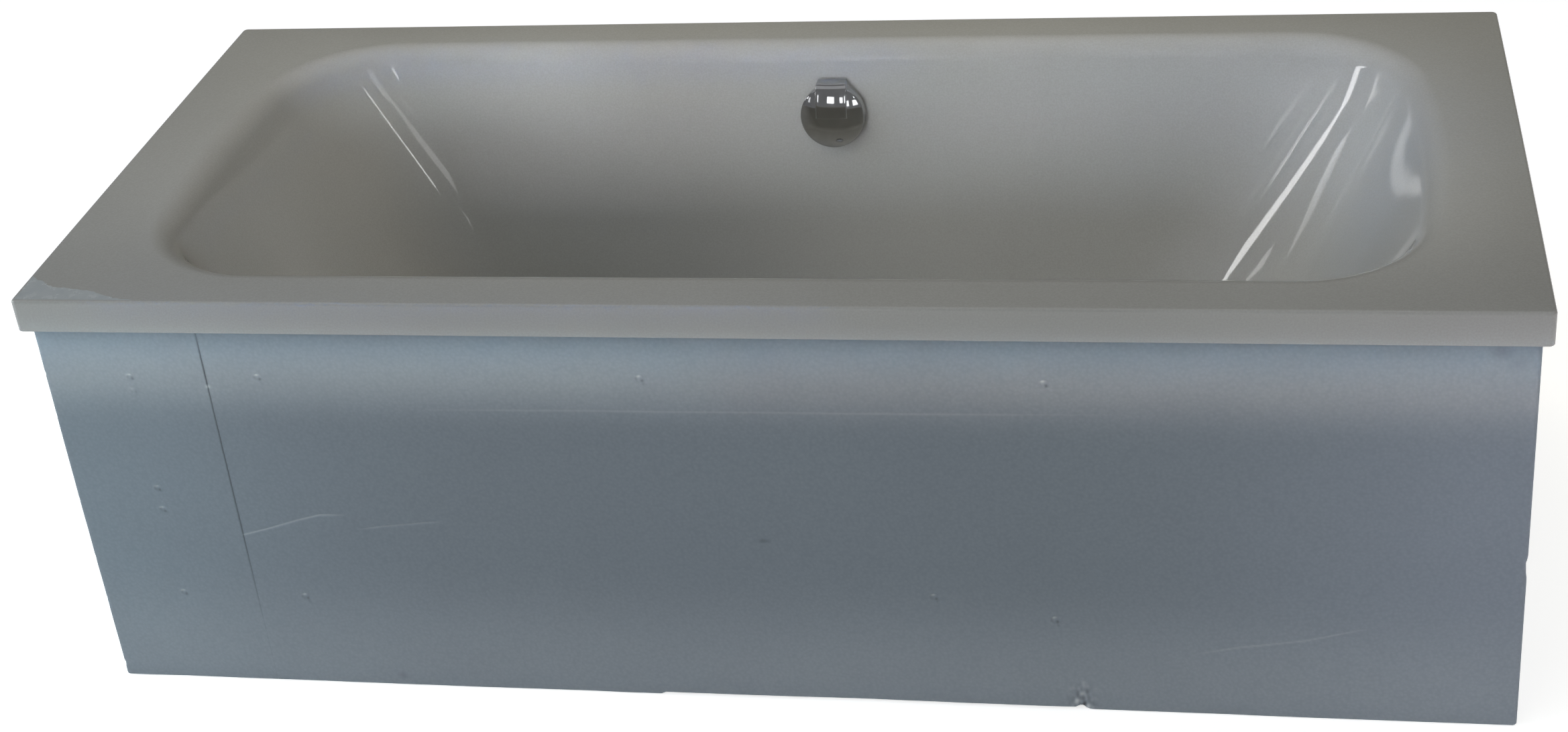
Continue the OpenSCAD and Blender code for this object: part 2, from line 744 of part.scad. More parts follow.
module waste_body_seal() {
    color(rubber) translate([0, 0, body_top]) difference() {
        cylinder(r = body_collar_r, h = body_seal_t);
        translate([0, 0, -eps]) cylinder(r = waste_hole_r + 1, h = body_seal_t + 2 * eps);
    }
}

// The lever turns on a pin between two ears inside the waste's body
lever_z = cross_z + 2;
lever_w = 10;
lever_hub_r = 5;
tip_r = 3;
pin_r = 2;
ear_t = 4;
ear_y = lever_w / 2 + part_gap;
tail_low = bend_r + trap_r + trap_clear + 3;
waste_gland_x = -20;
waste_gland_z = cross_z + 14;
waste_gland_end = 38;
module waste_body() {
    color(plastic) difference() {
        union() {
            difference() {
                union() {
                    translate([0, 0, body_top - 4]) cylinder(r = body_collar_r, h = 4);
                    translate([0, 0, body_low]) cylinder(r = waste_r, h = body_top - body_low);
                    translate([0, 0, tail_low]) cylinder(r = trap_r, h = body_low - tail_low + eps);
                    translate([0, 0, cross_z]) rotate([-90, 0, 0]) cylinder(r = thread_r, h = port_end);
                    translate([waste_gland_x, 0, waste_gland_z]) rotate([-90, 0, 0])
                        cylinder(r = gland_r, h = waste_gland_end);
                }
                translate([0, 0, body_low + body_wall])
                    cylinder(r = waste_in_r, h = body_top - thread_d - body_low - body_wall);
                translate([0, 0, body_top - thread_d - eps])
                    cylinder(r = throat_r + run_gap, h = thread_d + 2 * eps);
                translate([0, 0, tail_low - eps])
                    cylinder(r = trap_r - pipe_t, h = body_low - tail_low + 2 * eps);
                translate([0, 0, cross_z]) rotate([-90, 0, 0])
                    socket_bore(pipe_r, pipe_t, socket_l, port_end);
                translate([waste_gland_x, 0, waste_gland_z]) rotate([-90, 0, 0])
                    cylinder(r = wire_r, h = waste_gland_end + eps);
            }
            for (y = [-1, 1]) translate([-waste_in_r - 1, y * (ear_y + ear_t / 2) - ear_t / 2,
                lever_z - lever_hub_r])
                cube([waste_in_r + 1 - lever_arm + lever_hub_r, ear_t, 2 * lever_hub_r]);
        }
        translate([-lever_arm, -ear_y - ear_t - eps, lever_z]) rotate([-90, 0, 0])
            cylinder(r = pin_r, h = 2 * (ear_y + ear_t + eps));
    }
}
module lever_pin() {
    color(steel) translate([-lever_arm, -ear_y - ear_t, lever_z]) rotate([-90, 0, 0])
        cylinder(r = pin_r, h = 2 * (ear_y + ear_t));
}
module lift_lever() {
    color(plastic) translate([-lever_arm, 0, lever_z]) difference() {
        union() {
            translate([0, -lever_w / 2, 0]) rotate([-90, 0, 0]) cylinder(r = lever_hub_r, h = lever_w);
            translate([0, -3, -2]) cube([lever_arm, 6, 4]);
            translate([lever_arm, -4, 0]) rotate([-90, 0, 0]) cylinder(r = tip_r, h = 8);
            translate([-2, -2, 0]) cube([4, 4, lever_hub_r + 7]);
        }
        translate([0, -lever_w, 0]) rotate([-90, 0, 0]) cylinder(r = pin_r + run_gap, h = 2 * lever_w);
    }
}

// Plug: a chrome dome with a rubber seal, on a stem guided by the flange
plug_seal_t = 1.5;
plug_low = flange_z + waste_flange_t + part_gap;
plug_z = plug_low + plug_seal_t;
plug_dome_r = cap_radius(plug_r, plug_h - 2);
stem_low = lever_z + tip_r + part_gap;
module plug_dome() {
    color(chrome) difference() {
        intersection() {
            translate([0, 0, plug_z]) cylinder(r = plug_r, h = plug_h);
            translate([0, 0, plug_z + plug_h - plug_dome_r]) sphere(r = plug_dome_r, $fn = 128);
        }
        translate([0, 0, plug_z - eps]) cylinder(r = stem_r, h = eps + plug_h / 2);
    }
}
module plug_seal() {
    color(rubber) translate([0, 0, plug_low]) difference() {
        cylinder(r = throat_in_r + 4, h = plug_seal_t);
        translate([0, 0, -eps]) cylinder(r = throat_in_r - 3, h = plug_seal_t + 2 * eps);
    }
}
module plug_stem() {
    color(steel) translate([0, 0, stem_low]) cylinder(r = stem_r, h = plug_z + plug_h / 2 - stem_low);
}

// Trap: a bent tube with a socket on each leg, low enough to hold a water seal
bend_z = bend_r + trap_r + trap_clear;
trap_mouth = bend_z + 3 + socket_l * 0.6;
trap_x = 2 * bend_r;
trap_step = bend_z + 3;
module trap_bend(r) {
    translate([bend_r, 0, bend_z]) rotate([-90, 0, 0]) rotate_extrude(angle = 180, $fn = 96)
        translate([bend_r, 0]) circle(r = r);
}
module trap_body() {
    color(plastic) difference() {
        union() {
            trap_bend(trap_r);
            for (x = [0, trap_x]) translate([x, 0, bend_z])
                cylinder(r = trap_r + socket_t, h = trap_mouth - bend_z);
        }
        trap_bend(trap_r - pipe_t);
        for (x = [0, trap_x]) {
            translate([x, 0, bend_z]) cylinder(r = trap_r - pipe_t, h = trap_mouth - bend_z + eps);
            translate([x, 0, trap_step]) cylinder(r = trap_r + run_gap, h = trap_mouth);
        }
    }
}
module trap_inlet_nut() {
    translate([0, 0, trap_mouth]) union_nut(trap_r);
}
module trap_outlet_nut() {
    translate([trap_x, 0, trap_mouth]) union_nut(trap_r);
}
module trap_washers() {
    color(rubber) for (x = [0, trap_x]) translate([x, 0, trap_mouth]) washer(trap_r);
}

// Outlet elbow: it turns in the trap's outlet and ends in the drain spigot
outlet_z = trap_mouth + washer_t + nut_face + trap_r + 3;
collar_y = trap_r + 6;
collar_t = 4;
module outlet_elbow() {
    color(plastic) difference() {
        union() {
            translate([trap_x, 0, trap_step]) cylinder(r = trap_r, h = outlet_z - trap_step);
            translate([trap_x, 0, outlet_z]) sphere(r = trap_r + 1);
            translate([trap_x, 0, outlet_z]) rotate([-90, 0, 0])
                cylinder(r = trap_r, h = collar_y + collar_t + spigot_l);
            translate([trap_x, collar_y, outlet_z]) rotate([-90, 0, 0])
                cylinder(r = trap_r + 3, h = collar_t);
        }
        translate([trap_x, 0, trap_step - eps])
            cylinder(r = trap_r - pipe_t, h = outlet_z - trap_step + eps);
        translate([trap_x, 0, outlet_z]) sphere(r = trap_r - pipe_t + 0.7);
        translate([trap_x, 0, outlet_z]) rotate([-90, 0, 0])
            cylinder(r = trap_r - pipe_t, h = collar_y + collar_t + spigot_l + eps);
    }
}

// Cable from the drive to the waste: down beside the pipe, then along the cross pipe
cable_x = -34;
cable_start = ov_point(gland_x, -gland_end, -gland_off);
cable_a = ov_point(gland_x, -gland_end - 40, -gland_off);
cable_b = ov_point(cable_x, -gland_end - 0.34 * drop_l, -gland_off + 8);
cable_c = [cable_x, elbow_y + 36, waste_gland_z + 0.18 * drop_l];
cable_d = [cable_x, elbow_y + 26, waste_gland_z];
cable_e = [cable_x, elbow_y - 60, waste_gland_z];
cable_f = [cable_x, waste_gland_end + 70, waste_gland_z];
cable_g = [waste_gland_x, waste_gland_end + 45, waste_gland_z];
cable_end = [waste_gland_x, waste_gland_end, waste_gland_z];

// Points of a smooth bend from a to c that leaves towards b
function bend(a, b, c, n) =
    [for (i = [1:n]) let (t = i / n) (1 - t) * (1 - t) * a + 2 * t * (1 - t) * b + t * t * c];
function line(a, b, n) = [for (i = [1:n]) a + (b - a) * i / n];
cable_path = concat(
    [cable_start], bend(cable_start, cable_a, (cable_a + cable_b) / 2, 5),
    bend((cable_a + cable_b) / 2, cable_b, (cable_b + cable_c) / 2, 5),
    line((cable_b + cable_c) / 2, cable_c, 4), bend(cable_c, cable_d, cable_e, 8),
    line(cable_e, cable_f, 6),
    bend(cable_f, (cable_f + cable_g) / 2 + [-4, -8, 0], (cable_f + cable_g) / 2 + [4, -6, 0], 2),
    bend((cable_f + cable_g) / 2 + [4, -6, 0], cable_g, cable_end, 4));
n_cable = len(cable_path);
cable_sides = 8;

function unit(v) = v / norm(v);
function way(i) = unit(cable_path[min(i + 1, n_cable - 1)] - cable_path[max(i - 1, 0)]);
function cable_dir(i) =
    i == 0 ? [0, -sin(slope_side), -cos(slope_side)] : i == n_cable - 1 ? [0, -1, 0] : way(i);
function cable_ring(i) =
    let (t = cable_dir(i), u = unit(cross(t, [1, 0, 0])), v = cross(t, u))
    [for (k = [0:cable_sides - 1])
        let (a = 360 * k / cable_sides) cable_path[i] + cable_r * (cos(a) * u + sin(a) * v)];
module bowden_cable() {
    n = cable_sides;
    points = [for (i = [0:n_cable - 1]) for (p = cable_ring(i)) p];
    skin = [for (i = [0:n_cable - 2]) for (k = [0:n - 1])
        let (j = (k + 1) % n)
        for (t = [[i * n + k, i * n + j, i * n + n + j], [i * n + k, i * n + n + j, i * n + n + k]]) t];
    caps = [[for (k = [n - 1:-1:0]) k], [for (k = [0:n - 1]) (n_cable - 1) * n + k]];
    color(rubber) polyhedron(points, concat(skin, caps));
}

tub_shell();
base_board();
carrier_front_panel();
carrier_back_panel();
carrier_left_end();
carrier_right_end();
carrier_left_cradle();
carrier_right_cradle();
overflow_knob();
knob_spindle();
drive_cam();
overflow_flange();
overflow_screws();
overflow_seal();
overflow_body();
drive_cover();
overflow_top_nut();
overflow_pipe();
elbow_upper_nut();
overflow_elbow();
elbow_outlet_nut();
cross_pipe();
cross_pipe_nut();
pipe_washers();
bowden_cable();
waste_flange();
waste_flange_seal();
waste_body_seal();
waste_body();
plug_dome();
plug_seal();
plug_stem();
lift_lever();
lever_pin();
trap_inlet_nut();
trap_body();
trap_outlet_nut();
trap_washers();
outlet_elbow();
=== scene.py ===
import json
import math

import bmesh
import bpy
import numpy as np
from mathutils import Matrix, Quaternion, Vector

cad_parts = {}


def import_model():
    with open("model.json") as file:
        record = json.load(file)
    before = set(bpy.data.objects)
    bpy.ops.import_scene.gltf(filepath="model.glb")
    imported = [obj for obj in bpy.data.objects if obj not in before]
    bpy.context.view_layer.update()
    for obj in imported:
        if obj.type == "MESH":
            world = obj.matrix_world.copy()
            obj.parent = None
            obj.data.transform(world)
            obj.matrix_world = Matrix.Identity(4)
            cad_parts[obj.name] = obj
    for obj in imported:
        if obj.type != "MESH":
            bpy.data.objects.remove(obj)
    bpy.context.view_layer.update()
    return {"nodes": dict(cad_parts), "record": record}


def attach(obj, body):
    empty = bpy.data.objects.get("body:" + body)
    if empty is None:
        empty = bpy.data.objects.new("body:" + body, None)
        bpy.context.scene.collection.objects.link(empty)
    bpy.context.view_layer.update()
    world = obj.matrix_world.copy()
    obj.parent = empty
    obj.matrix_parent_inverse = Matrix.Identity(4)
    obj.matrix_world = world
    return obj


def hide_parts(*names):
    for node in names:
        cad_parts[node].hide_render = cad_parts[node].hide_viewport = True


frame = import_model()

MM = 0.001

# The tub's sizes in millimetres, as in the part's source
TUB_L, TUB_W, TUB_H = 1800.0, 800.0, 580.0
SHELL_T = 5.0
LIP_H = 43.0
RIM_CORNER_R = 8.0
RIM_EDGE_R = 4.0
LIP_EDGE_R = 1.2
FLOOR_Z = 150.0
DEPTH = TUB_H - FLOOR_Z
FLOOR_FALL = 3.0
FLOOR_D = DEPTH - FLOOR_FALL
SEAT_D = DEPTH + 3.0
SEAT_R = 40.0
HOLE_R = 26.0
BASIN_A = TUB_L / 2 - 88.0
BASIN_B = TUB_W / 2 - 58.0
CORNER_R = 178.0
CORNER_GROWTH = 0.4
CORNER_EASE = 40.0
BOW_R = 1500.0
BOW_TAPER = 3.0
STRAIGHT = 100000.0
ROLL_END, ROLL_SIDE = 40.0, 30.0
FILLET_END, FILLET_SIDE = 130.0, 90.0
SLOPE_END, SLOPE_SIDE = math.radians(28), math.radians(8)
OVERFLOW_DROP = 94.0

# The carrier's sizes, and how finely its walls are divided
FOAM_X, FOAM_Y = 888.0, 388.0
FOAM_END_T, FOAM_SIDE_T = 60.0, 40.0
FOAM_H = 575.0
SEAM_X = -675.0
FOAM_CORNER_R = 6.0
FOAM_EDGE_R = 2.5
FOAM_STEP, BACK_STEP, HIDDEN_STEP = 6.0, 12.0, 10.0
FOAM_LAP = 8.0
CHASE_W, CHASE_WALL, CHASE_TOP = 124.0, 14.0, 541.0
DRAIN_X0, DRAIN_X1, DRAIN_TOP = -5.0, 125.0, 150.0
JOINT_GAP = 0.05
FOOT_H = 20.0
LEAST_DEPTH = 0.02

# The knob's sizes
KNOB_R, KNOB_GAP, KNOB_RIM, KNOB_DOME = 45.0, 14.0, 17.0, 11.0
KNOB_T, HUB_R, SPINDLE_R = 2.5, 8.0, 4.0
LUG_HALF, LUG_OUT, LUG_RISE = 21.5, 4.5, 2.5
PLUG_R, PLUG_LOW, PLUG_H, PLUG_STEM_R = 31.0, 153.4, 7.0, 4.0


def mesh_piece(name, verts, faces, sharp_deg=35, tone=None):
    """A smooth mesh from points in millimetres, with its faces turned outwards; tone is kept by point."""
    mesh = bpy.data.meshes.new(name)
    mesh.from_pydata([tuple(v) for v in np.asarray(verts, float) * MM], [], faces)
    if tone is not None:
        mesh.attributes.new("tone", "FLOAT", "POINT").data.foreach_set("value", tone)
    bm = bmesh.new()
    bm.from_mesh(mesh)
    bmesh.ops.remove_doubles(bm, verts=bm.verts, dist=0.00002)
    bmesh.ops.recalc_face_normals(bm, faces=bm.faces)
    bm.to_mesh(mesh)
    bm.free()
    mesh.polygons.foreach_set("use_smooth", [True] * len(mesh.polygons))
    mesh.set_sharp_from_angle(angle=math.radians(sharp_deg))
    piece = bpy.data.objects.new(name, mesh)
    bpy.context.scene.collection.objects.link(piece)
    return piece


def dress(piece, material, slot, body, *nodes):
    """Gives a piece its material and body, and hides the CAD nodes that it stands for; slot is not used."""
    piece.data.materials.clear()
    piece.data.materials.append(material)
    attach(piece, body)
    if nodes:
        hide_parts(*nodes)
    return piece


def combine(piece, other, operation):
    """Cuts another mesh object out of piece or joins it in, and removes the other."""
    mod = piece.modifiers.new("combine", "BOOLEAN")
    mod.operation = operation
    mod.solver = "EXACT"
    mod.object = other
    graph = bpy.context.evaluated_depsgraph_get()
    made = bpy.data.meshes.new_from_object(piece.evaluated_get(graph))
    piece.modifiers.clear()
    piece.data = made
    bpy.data.objects.remove(other)
    return piece


def ring_faces(count, n, close=False):
    """Quads between rings of n points that follow each other."""
    last = count if close else count - 1
    faces = []
    for k in range(last):
        a, b = k * n, ((k + 1) % count) * n
        for i in range(n):
            j = (i + 1) % n
            faces.append((a + i, a + j, b + j, b + i))
    return faces


def lathe(name, profile, steps=128, place=Matrix.Identity(4)):
    """A turned body from (radius, height) points; the ends on the axis are closed."""
    rings = [p for p in profile if p[0] > 1e-6]
    turn = np.linspace(0, 2 * math.pi, steps, endpoint=False)
    verts = [(r * math.cos(t), r * math.sin(t), z) for r, z in rings for t in turn]
    faces = ring_faces(len(rings), steps)
    for end, row in ((0, 0), (-1, len(rings) - 1)):
        if profile[end][0] <= 1e-6:
            verts.append((0, 0, profile[end][1]))
            tip = len(verts) - 1
            faces += [(tip, row * steps + i, row * steps + (i + 1) % steps) for i in range(steps)]
    moved = [place @ Vector(v) for v in verts]
    return mesh_piece(name, moved, faces)


def arc(cx, cz, r, start, end, n):
    """Points of an arc in a profile, angles in degrees."""
    turn = [math.radians(start + (end - start) * i / n) for i in range(n + 1)]
    return [(cx + r * math.cos(t), cz + r * math.sin(t)) for t in turn]


# Shape of the basin

def inset(d, r, f, h, s):
    """How far a wall has moved in at depth d: a roll r, a slope s and a fillet f on a floor at h."""
    d1, x1 = r * (1 - math.sin(s)), r * math.cos(s)
    d2 = h - f * (1 - math.sin(s))
    x2 = x1 + (d2 - d1) * math.tan(s)
    if d <= 0:
        return 0.0
    if d < d1:
        return math.sqrt(r * r - (r - d) ** 2)
    if d < d2:
        return x1 + (d - d1) * math.tan(s)
    k = d - (h - f)
    return x2 + f * math.cos(s) - math.sqrt(max(0.0, f * f - k * k))


def side_in(d):
    return inset(d, ROLL_SIDE, FILLET_SIDE, FLOOR_D, SLOPE_SIDE)


def end_in(d):
    return inset(d, ROLL_END, FILLET_END, FLOOR_D, SLOPE_END)


def side_out(d):
    return inset(d - SHELL_T, ROLL_SIDE - SHELL_T, FILLET_SIDE + SHELL_T, DEPTH, SLOPE_SIDE)


def end_out(d):
    return inset(d - SHELL_T, ROLL_END - SHELL_T, FILLET_END + SHELL_T, DEPTH, SLOPE_END)


def corner_in(d):
    """The plan corner's radius: it follows the roll, grows down the wall and shrinks with the fillet."""
    roll, lean = ROLL_SIDE * math.cos(SLOPE_SIDE), math.tan(SLOPE_SIDE)
    x = max(0.0, d - ROLL_SIDE * (1 - math.sin(SLOPE_SIDE)))
    fillet = max(0.0, side_in(d) - roll - x * lean)
    eased = x * x / (2 * CORNER_EASE) if x < CORNER_EASE else x - CORNER_EASE / 2
    grown = (CORNER_GROWTH * math.tan(SLOPE_END) + lean) * eased
    return CORNER_R - min(side_in(d), roll) - x * lean - fillet + grown


def corner_out(d):
    e = min(d, FLOOR_D)
    return corner_in(e) + max(0.0, side_in(e) - side_out(d))


N_BOW, N_CORNER, N_SIDE = 30, 40, 26


def quarter(a, b, r, q):
    """A quarter of a plan: a bowed end of radius q, a corner of radius r and a straight side."""
    cx = a - q + math.sqrt((q - r) ** 2 - (b - r) ** 2)
    t0 = math.atan2(b - r, cx - a + q)
    bow = t0 * np.arange(N_BOW) / N_BOW
    turn = t0 + (math.pi / 2 - t0) * np.arange(N_CORNER) / N_CORNER
    side = cx * (1 - np.arange(N_SIDE + 1) / N_SIDE)
    x = np.concatenate([a - q + q * np.cos(bow), cx + r * np.cos(turn), side])
    y = np.concatenate([q * np.sin(bow), b - r + r * np.sin(turn), np.full(N_SIDE + 1, b)])
    return x, y


def ring(a, b, r, q, d):
    x, y = quarter(a, b, r, q)
    m = len(x) - 1
    back = np.arange(m, 0, -1)
    px = np.concatenate([x[:m], -x[back], -x[:m], x[back]])
    py = np.concatenate([y[:m], y[back], -y[:m], -y[back]])
    return np.stack([px, py, np.full(4 * m, TUB_H - d)], 1)


def inner_ring(d):
    x = end_in(d)
    return ring(BASIN_A - x, BASIN_B - side_in(d), corner_in(d), BOW_R - BOW_TAPER * x, d)


def outer_ring(d):
    x = end_out(d)
    return ring(BASIN_A - x, BASIN_B - side_out(d), corner_out(d), BOW_R - BOW_TAPER * x, d)


def rim_ring(i, d):
    return ring(TUB_L / 2 - i, TUB_W / 2 - i, RIM_CORNER_R - i, STRAIGHT, d)


def waste_ring(like, r, d):
    """A round ring whose points lie in the directions of another ring's points."""
    turn = np.arctan2(like[:, 1], like[:, 0])
    return np.stack([r * np.cos(turn), r * np.sin(turn), np.full(len(like), TUB_H - d)], 1)


def arc_depths(r, h, n, slope):
    """Depths of a fillet of radius r that ends on a floor at depth h."""
    sweep = math.pi / 2 - slope
    return [h - r * (1 - math.cos(sweep * (1 - i / n))) for i in range(n + 1)]


def shell_rings():
    """Rings of the whole shell, from the waste up the inside, over the rim and down the outside."""
    sweep = math.pi / 2 - SLOPE_SIDE
    roll = [ROLL_SIDE * (1 - math.cos(sweep * i / 20)) for i in range(21)]
    low = FLOOR_D - FILLET_SIDE * (1 - math.sin(SLOPE_SIDE))
    low_end = FLOOR_D - FILLET_END * (1 - math.sin(SLOPE_END))
    wall = list(np.linspace(roll[-1], min(low, low_end), 14)[1:])
    depths = roll + wall + arc_depths(FILLET_SIDE, FLOOR_D, 26, SLOPE_SIDE)
    inside = [inner_ring(d) for d in depths]
    floor = inside[-1]
    lip_ring = waste_ring(floor, SEAT_R + 4, DEPTH)
    spread = [floor + (lip_ring - floor) * t for t in (0.25, 0.5, 0.75, 0.93)]
    bowl = [(SEAT_R + 4, 0), (SEAT_R + 2, 0.4), (SEAT_R, 1.6), (SEAT_R - 2, 2.6), (SEAT_R - 4, 3)]
    seat = [waste_ring(floor, r, DEPTH + drop) for r, drop in bowl + [(HOLE_R, 3)]]
    rings = seat[::-1] + spread[::-1] + inside[::-1]
    edge = [math.radians(a) for a in range(0, 91, 11)] + [math.pi / 2]
    for a in edge:
        rings.append(rim_ring(RIM_EDGE_R * (1 - math.sin(a)), RIM_EDGE_R * (1 - math.cos(a))))
    rings += [rim_ring(0, LIP_H * 0.5), rim_ring(0, LIP_H - LIP_EDGE_R)]
    for a in (30, 60, 90):
        i = LIP_EDGE_R * (1 - math.cos(math.radians(a)))
        rings.append(rim_ring(i, LIP_H - LIP_EDGE_R * (1 - math.sin(math.radians(a)))))
    rings += [rim_ring(SHELL_T, LIP_H), rim_ring(SHELL_T, SHELL_T)]
    out_r, out_f = ROLL_SIDE - SHELL_T, FILLET_SIDE + SHELL_T
    out = [SHELL_T + out_r * (1 - math.cos(sweep * i / 8)) for i in range(9)]
    out += [SHELL_T + d for d in arc_depths(out_f, DEPTH, 12, SLOPE_SIDE)]
    rings += [outer_ring(d) for d in out]
    rings += [waste_ring(floor, SEAT_R + 5, DEPTH + SHELL_T), waste_ring(floor, SEAT_R, SEAT_D + SHELL_T)]
    rings.append(waste_ring(floor, HOLE_R, SEAT_D + SHELL_T))
    return rings


def at_overflow():
    """The overflow's frame: Z out of the rear wall into the basin, Y up the wall."""
    y = BASIN_B - side_in(OVERFLOW_DROP)
    s, c = math.sin(SLOPE_SIDE), math.cos(SLOPE_SIDE)
    return Matrix(((1, 0, 0, 0), (0, s, -c, y), (0, c, s, TUB_H - OVERFLOW_DROP), (0, 0, 0, 1)))


def tub_piece():
    rings = shell_rings()
    n = len(rings[0])
    tub = mesh_piece("tub_acrylic", np.concatenate(rings), ring_faces(len(rings), n, close=True), 50)
    bore = lathe("bore", [(0, -12), (HOLE_R, -12), (HOLE_R, 6), (0, 6)], 96, at_overflow())
    return combine(tub, bore, "DIFFERENCE")


# Foam walls

def grid_lines(low, high, step, bands):
    """Positions from low to high, closer together inside the bands (start, end, step)."""
    out, x = [low], low
    while x < high - 1e-6:
        inside = [s for a, b, s in bands if a - 1e-6 <= x < b - 1e-6]
        ahead = [a for a, b, s in bands if a > x + 1e-6]
        nxt = x + (min(inside) if inside else step)
        if not inside and ahead:
            nxt = min(nxt, min(ahead))
        x = min(nxt, high)
        out.append(x)
    return np.array(out)


def ripple(u, v, seed, count, low, high):
    """Soft waves between two wavelengths, from seeded directions and phases; about -1 to 1."""
    rng = np.random.default_rng(seed)
    total = np.zeros_like(u)
    for _ in range(count):
        k = 2 * math.pi / rng.uniform(low, high)
        turn, phase = rng.uniform(0, 2 * math.pi, 2)
        total += np.sin(k * (u * math.cos(turn) + v * math.sin(turn)) + phase)
    return total / math.sqrt(count)


def line_gap(u, v, points):
    """Distance to a polyline, and how far along it as a share."""
    best = np.full(u.shape, 1e9)
    share = np.zeros(u.shape)
    lengths = [math.dist(a, b) for a, b in zip(points, points[1:])]
    total, done = sum(lengths), 0.0
    for (x0, z0), (x1, z1), length in zip(points, points[1:], lengths):
        t = np.clip(((u - x0) * (x1 - x0) + (v - z0) * (z1 - z0)) / length**2, 0, 1)
        gap = np.hypot(u - x0 - t * (x1 - x0), v - z0 - t * (z1 - z0))
        nearer = gap < best
        best = np.where(nearer, gap, best)
        share = np.where(nearer, (done + t * length) / total, share)
        done += length
    return best, share


def groove(u, v, points, width, depth):
    """A pressed line that fades at both ends."""
    gap, share = line_gap(u, v, points)
    fade = np.clip(np.minimum(share, 1 - share) * 6, 0.15, 1)
    return depth * fade * np.exp(-((gap / width) ** 2))


def pit(u, v, x, z, r, depth, lean=0.0):
    """A round pressed mark with a low raised edge; lean makes one side deeper."""
    q = np.hypot(u - x, v - z) / r
    bowl = np.clip(1 - q**2, 0, 1) ** 0.6 * depth * (1 + lean * (v - z) / r)
    return bowl - 0.22 * depth * np.exp(-(((q - 1.25) / 0.25) ** 2))


PANEL_MARKS = [(-608, 469), (-131, 474), (343, 474), (-610, 139), (344, 137), (199, 167)]
WRAP_MARKS = [(-774, 467), (-774, 446), (-775, 302), (-775, 270), (-775, 140)]
CUT_ONE = [(-675, 233), (-640, 243), (-600, 257), (-568, 266), (-531, 267)]
CUT_TWO = [(-522, 245), (-492, 250), (-440, 257), (-406, 261)]
LOW_CRACK = [(505, 90), (560, 104), (640, 118), (717, 140)]
MOULD_LINE = [(-454, 424), (-200, 427), (100, 429), (300, 431), (441, 433)]
NOTCH_X = 373.0
DARK_SPOT = (-4.0, 244.0)
SEAM_FLECK_Z = 454.0
SEAM_TOP_Z = 471.0
# The low relief at the foot: from, to and how far its edge lies above the floor
RELIEF = (-160.0, 373.0, 3.0)
# Pale scratches: line, half width and strength
SCRATCHES = [(CUT_ONE, 1.2, 0.5), (CUT_TWO, 0.9, 0.35), (LOW_CRACK, 1.1, 0.22), (MOULD_LINE, 1.3, 0.16)]
# The left end's face leans back above this height, by this much at the top
LEAN_Z, LEAN = 532.0, 4.0


def front_relief(u, v):
    """Depth of the marks on the front, at distance u along the tub and height v."""
    deep = 0.5 * ripple(u, v, 11, 9, 260, 700) + 0.16 * ripple(u, v, 12, 9, 60, 160)
    for x, z in PANEL_MARKS:
        deep += pit(u, v, x, z, 5.5, 1.5, 0.5) + pit(u, v, x + 5, z - 7, 3.2, 0.9)
    for x, z in WRAP_MARKS:
        deep += pit(u, v, x, z, 4.2, 1.4, 0.5)
    deep += groove(u, v, CUT_ONE, 1.3, 1.1) + groove(u, v, CUT_TWO, 1.2, 1.0)
    deep += groove(u, v, LOW_CRACK, 1.4, 0.7) + groove(u, v, MOULD_LINE, 1.6, 0.45)
    near = np.exp(-((u - NOTCH_X) / 11) ** 2) * np.clip(1 - v / 46, 0, 1)
    deep += near * (1.1 + 1.4 * ripple(u, v, 13, 8, 7, 16))
    return deep


def seam_share(v):
    """How open the glued seam looks at height v: widest near its top and closed near the foot."""
    return np.clip((v - 100) / 140, 0, 1) * (0.62 + 0.38 * np.exp(-((v - SEAM_TOP_Z) / 24) ** 2))


def front_tone(u, v):
    """Pale flecks and scratches above 0, and dark stains and the seam below 0, on the front; the pale fleck
    and the dark spot at each pressed mark are a painted highlight and painted shade.
    """
    tone = -0.6 * np.exp(-((u - SEAM_X) / 1.3) ** 2) * seam_share(v)
    # Each pressed mark gets a painted highlight on its upper left and painted shade on its lower right
    for x, z in PANEL_MARKS + WRAP_MARKS:
        tone += 0.75 * np.exp(-(((u - x + 1.8) / 2.6) ** 2 + ((v - z - 2.2) / 1.7) ** 2))
        tone -= 0.6 * np.exp(-(((u - x - 2.4) / 2.0) ** 2 + ((v - z + 3.2) / 1.8) ** 2))
    for line, wide, amount in SCRATCHES:
        gap, share = line_gap(u, v, line)
        begin = 1 if line is CUT_ONE else share  # the first cut starts at the seam and doesn't fade there
        tone += amount * np.clip(np.minimum(begin, 1 - share) * 5, 0, 1) * np.exp(-((gap / wide) ** 2))
    # A pale fleck on the seam near its top
    tone += 0.9 * np.exp(-(((u - SEAM_X) / 2.4) ** 2 + ((v - SEAM_FLECK_Z) / 2.6) ** 2))
    tone -= 0.45 * np.exp(-(((u - DARK_SPOT[0]) / 6) ** 2 + ((v - DARK_SPOT[1]) / 3) ** 2))
    torn = np.exp(-((u - NOTCH_X) / 12) ** 2) * np.clip(1 - v / 48, 0, 1)
    return tone + 0.8 * torn * ripple(u, v, 61, 10, 6, 18)


def left_relief(u, v):
    return 0.6 * ripple(u, v, 21, 9, 200, 600) + 0.16 * ripple(u, v, 22, 9, 60, 160)


def plain_relief(seed):
    def relief(u, v):
        return 0.5 * ripple(u, v, seed, 9, 240, 700) + 0.16 * ripple(u, v, seed + 1, 9, 60, 160)
    return relief


def corner_path(x, y, r, start, n=7):
    """Outward points of a rounded upright corner, as (x, y, normal x, normal y)."""
    out = []
    for i in range(n + 1):
        t = start + math.radians(90) * i / n
        out.append((x + r * math.cos(t), y + r * math.sin(t), math.cos(t), math.sin(t)))
    return out


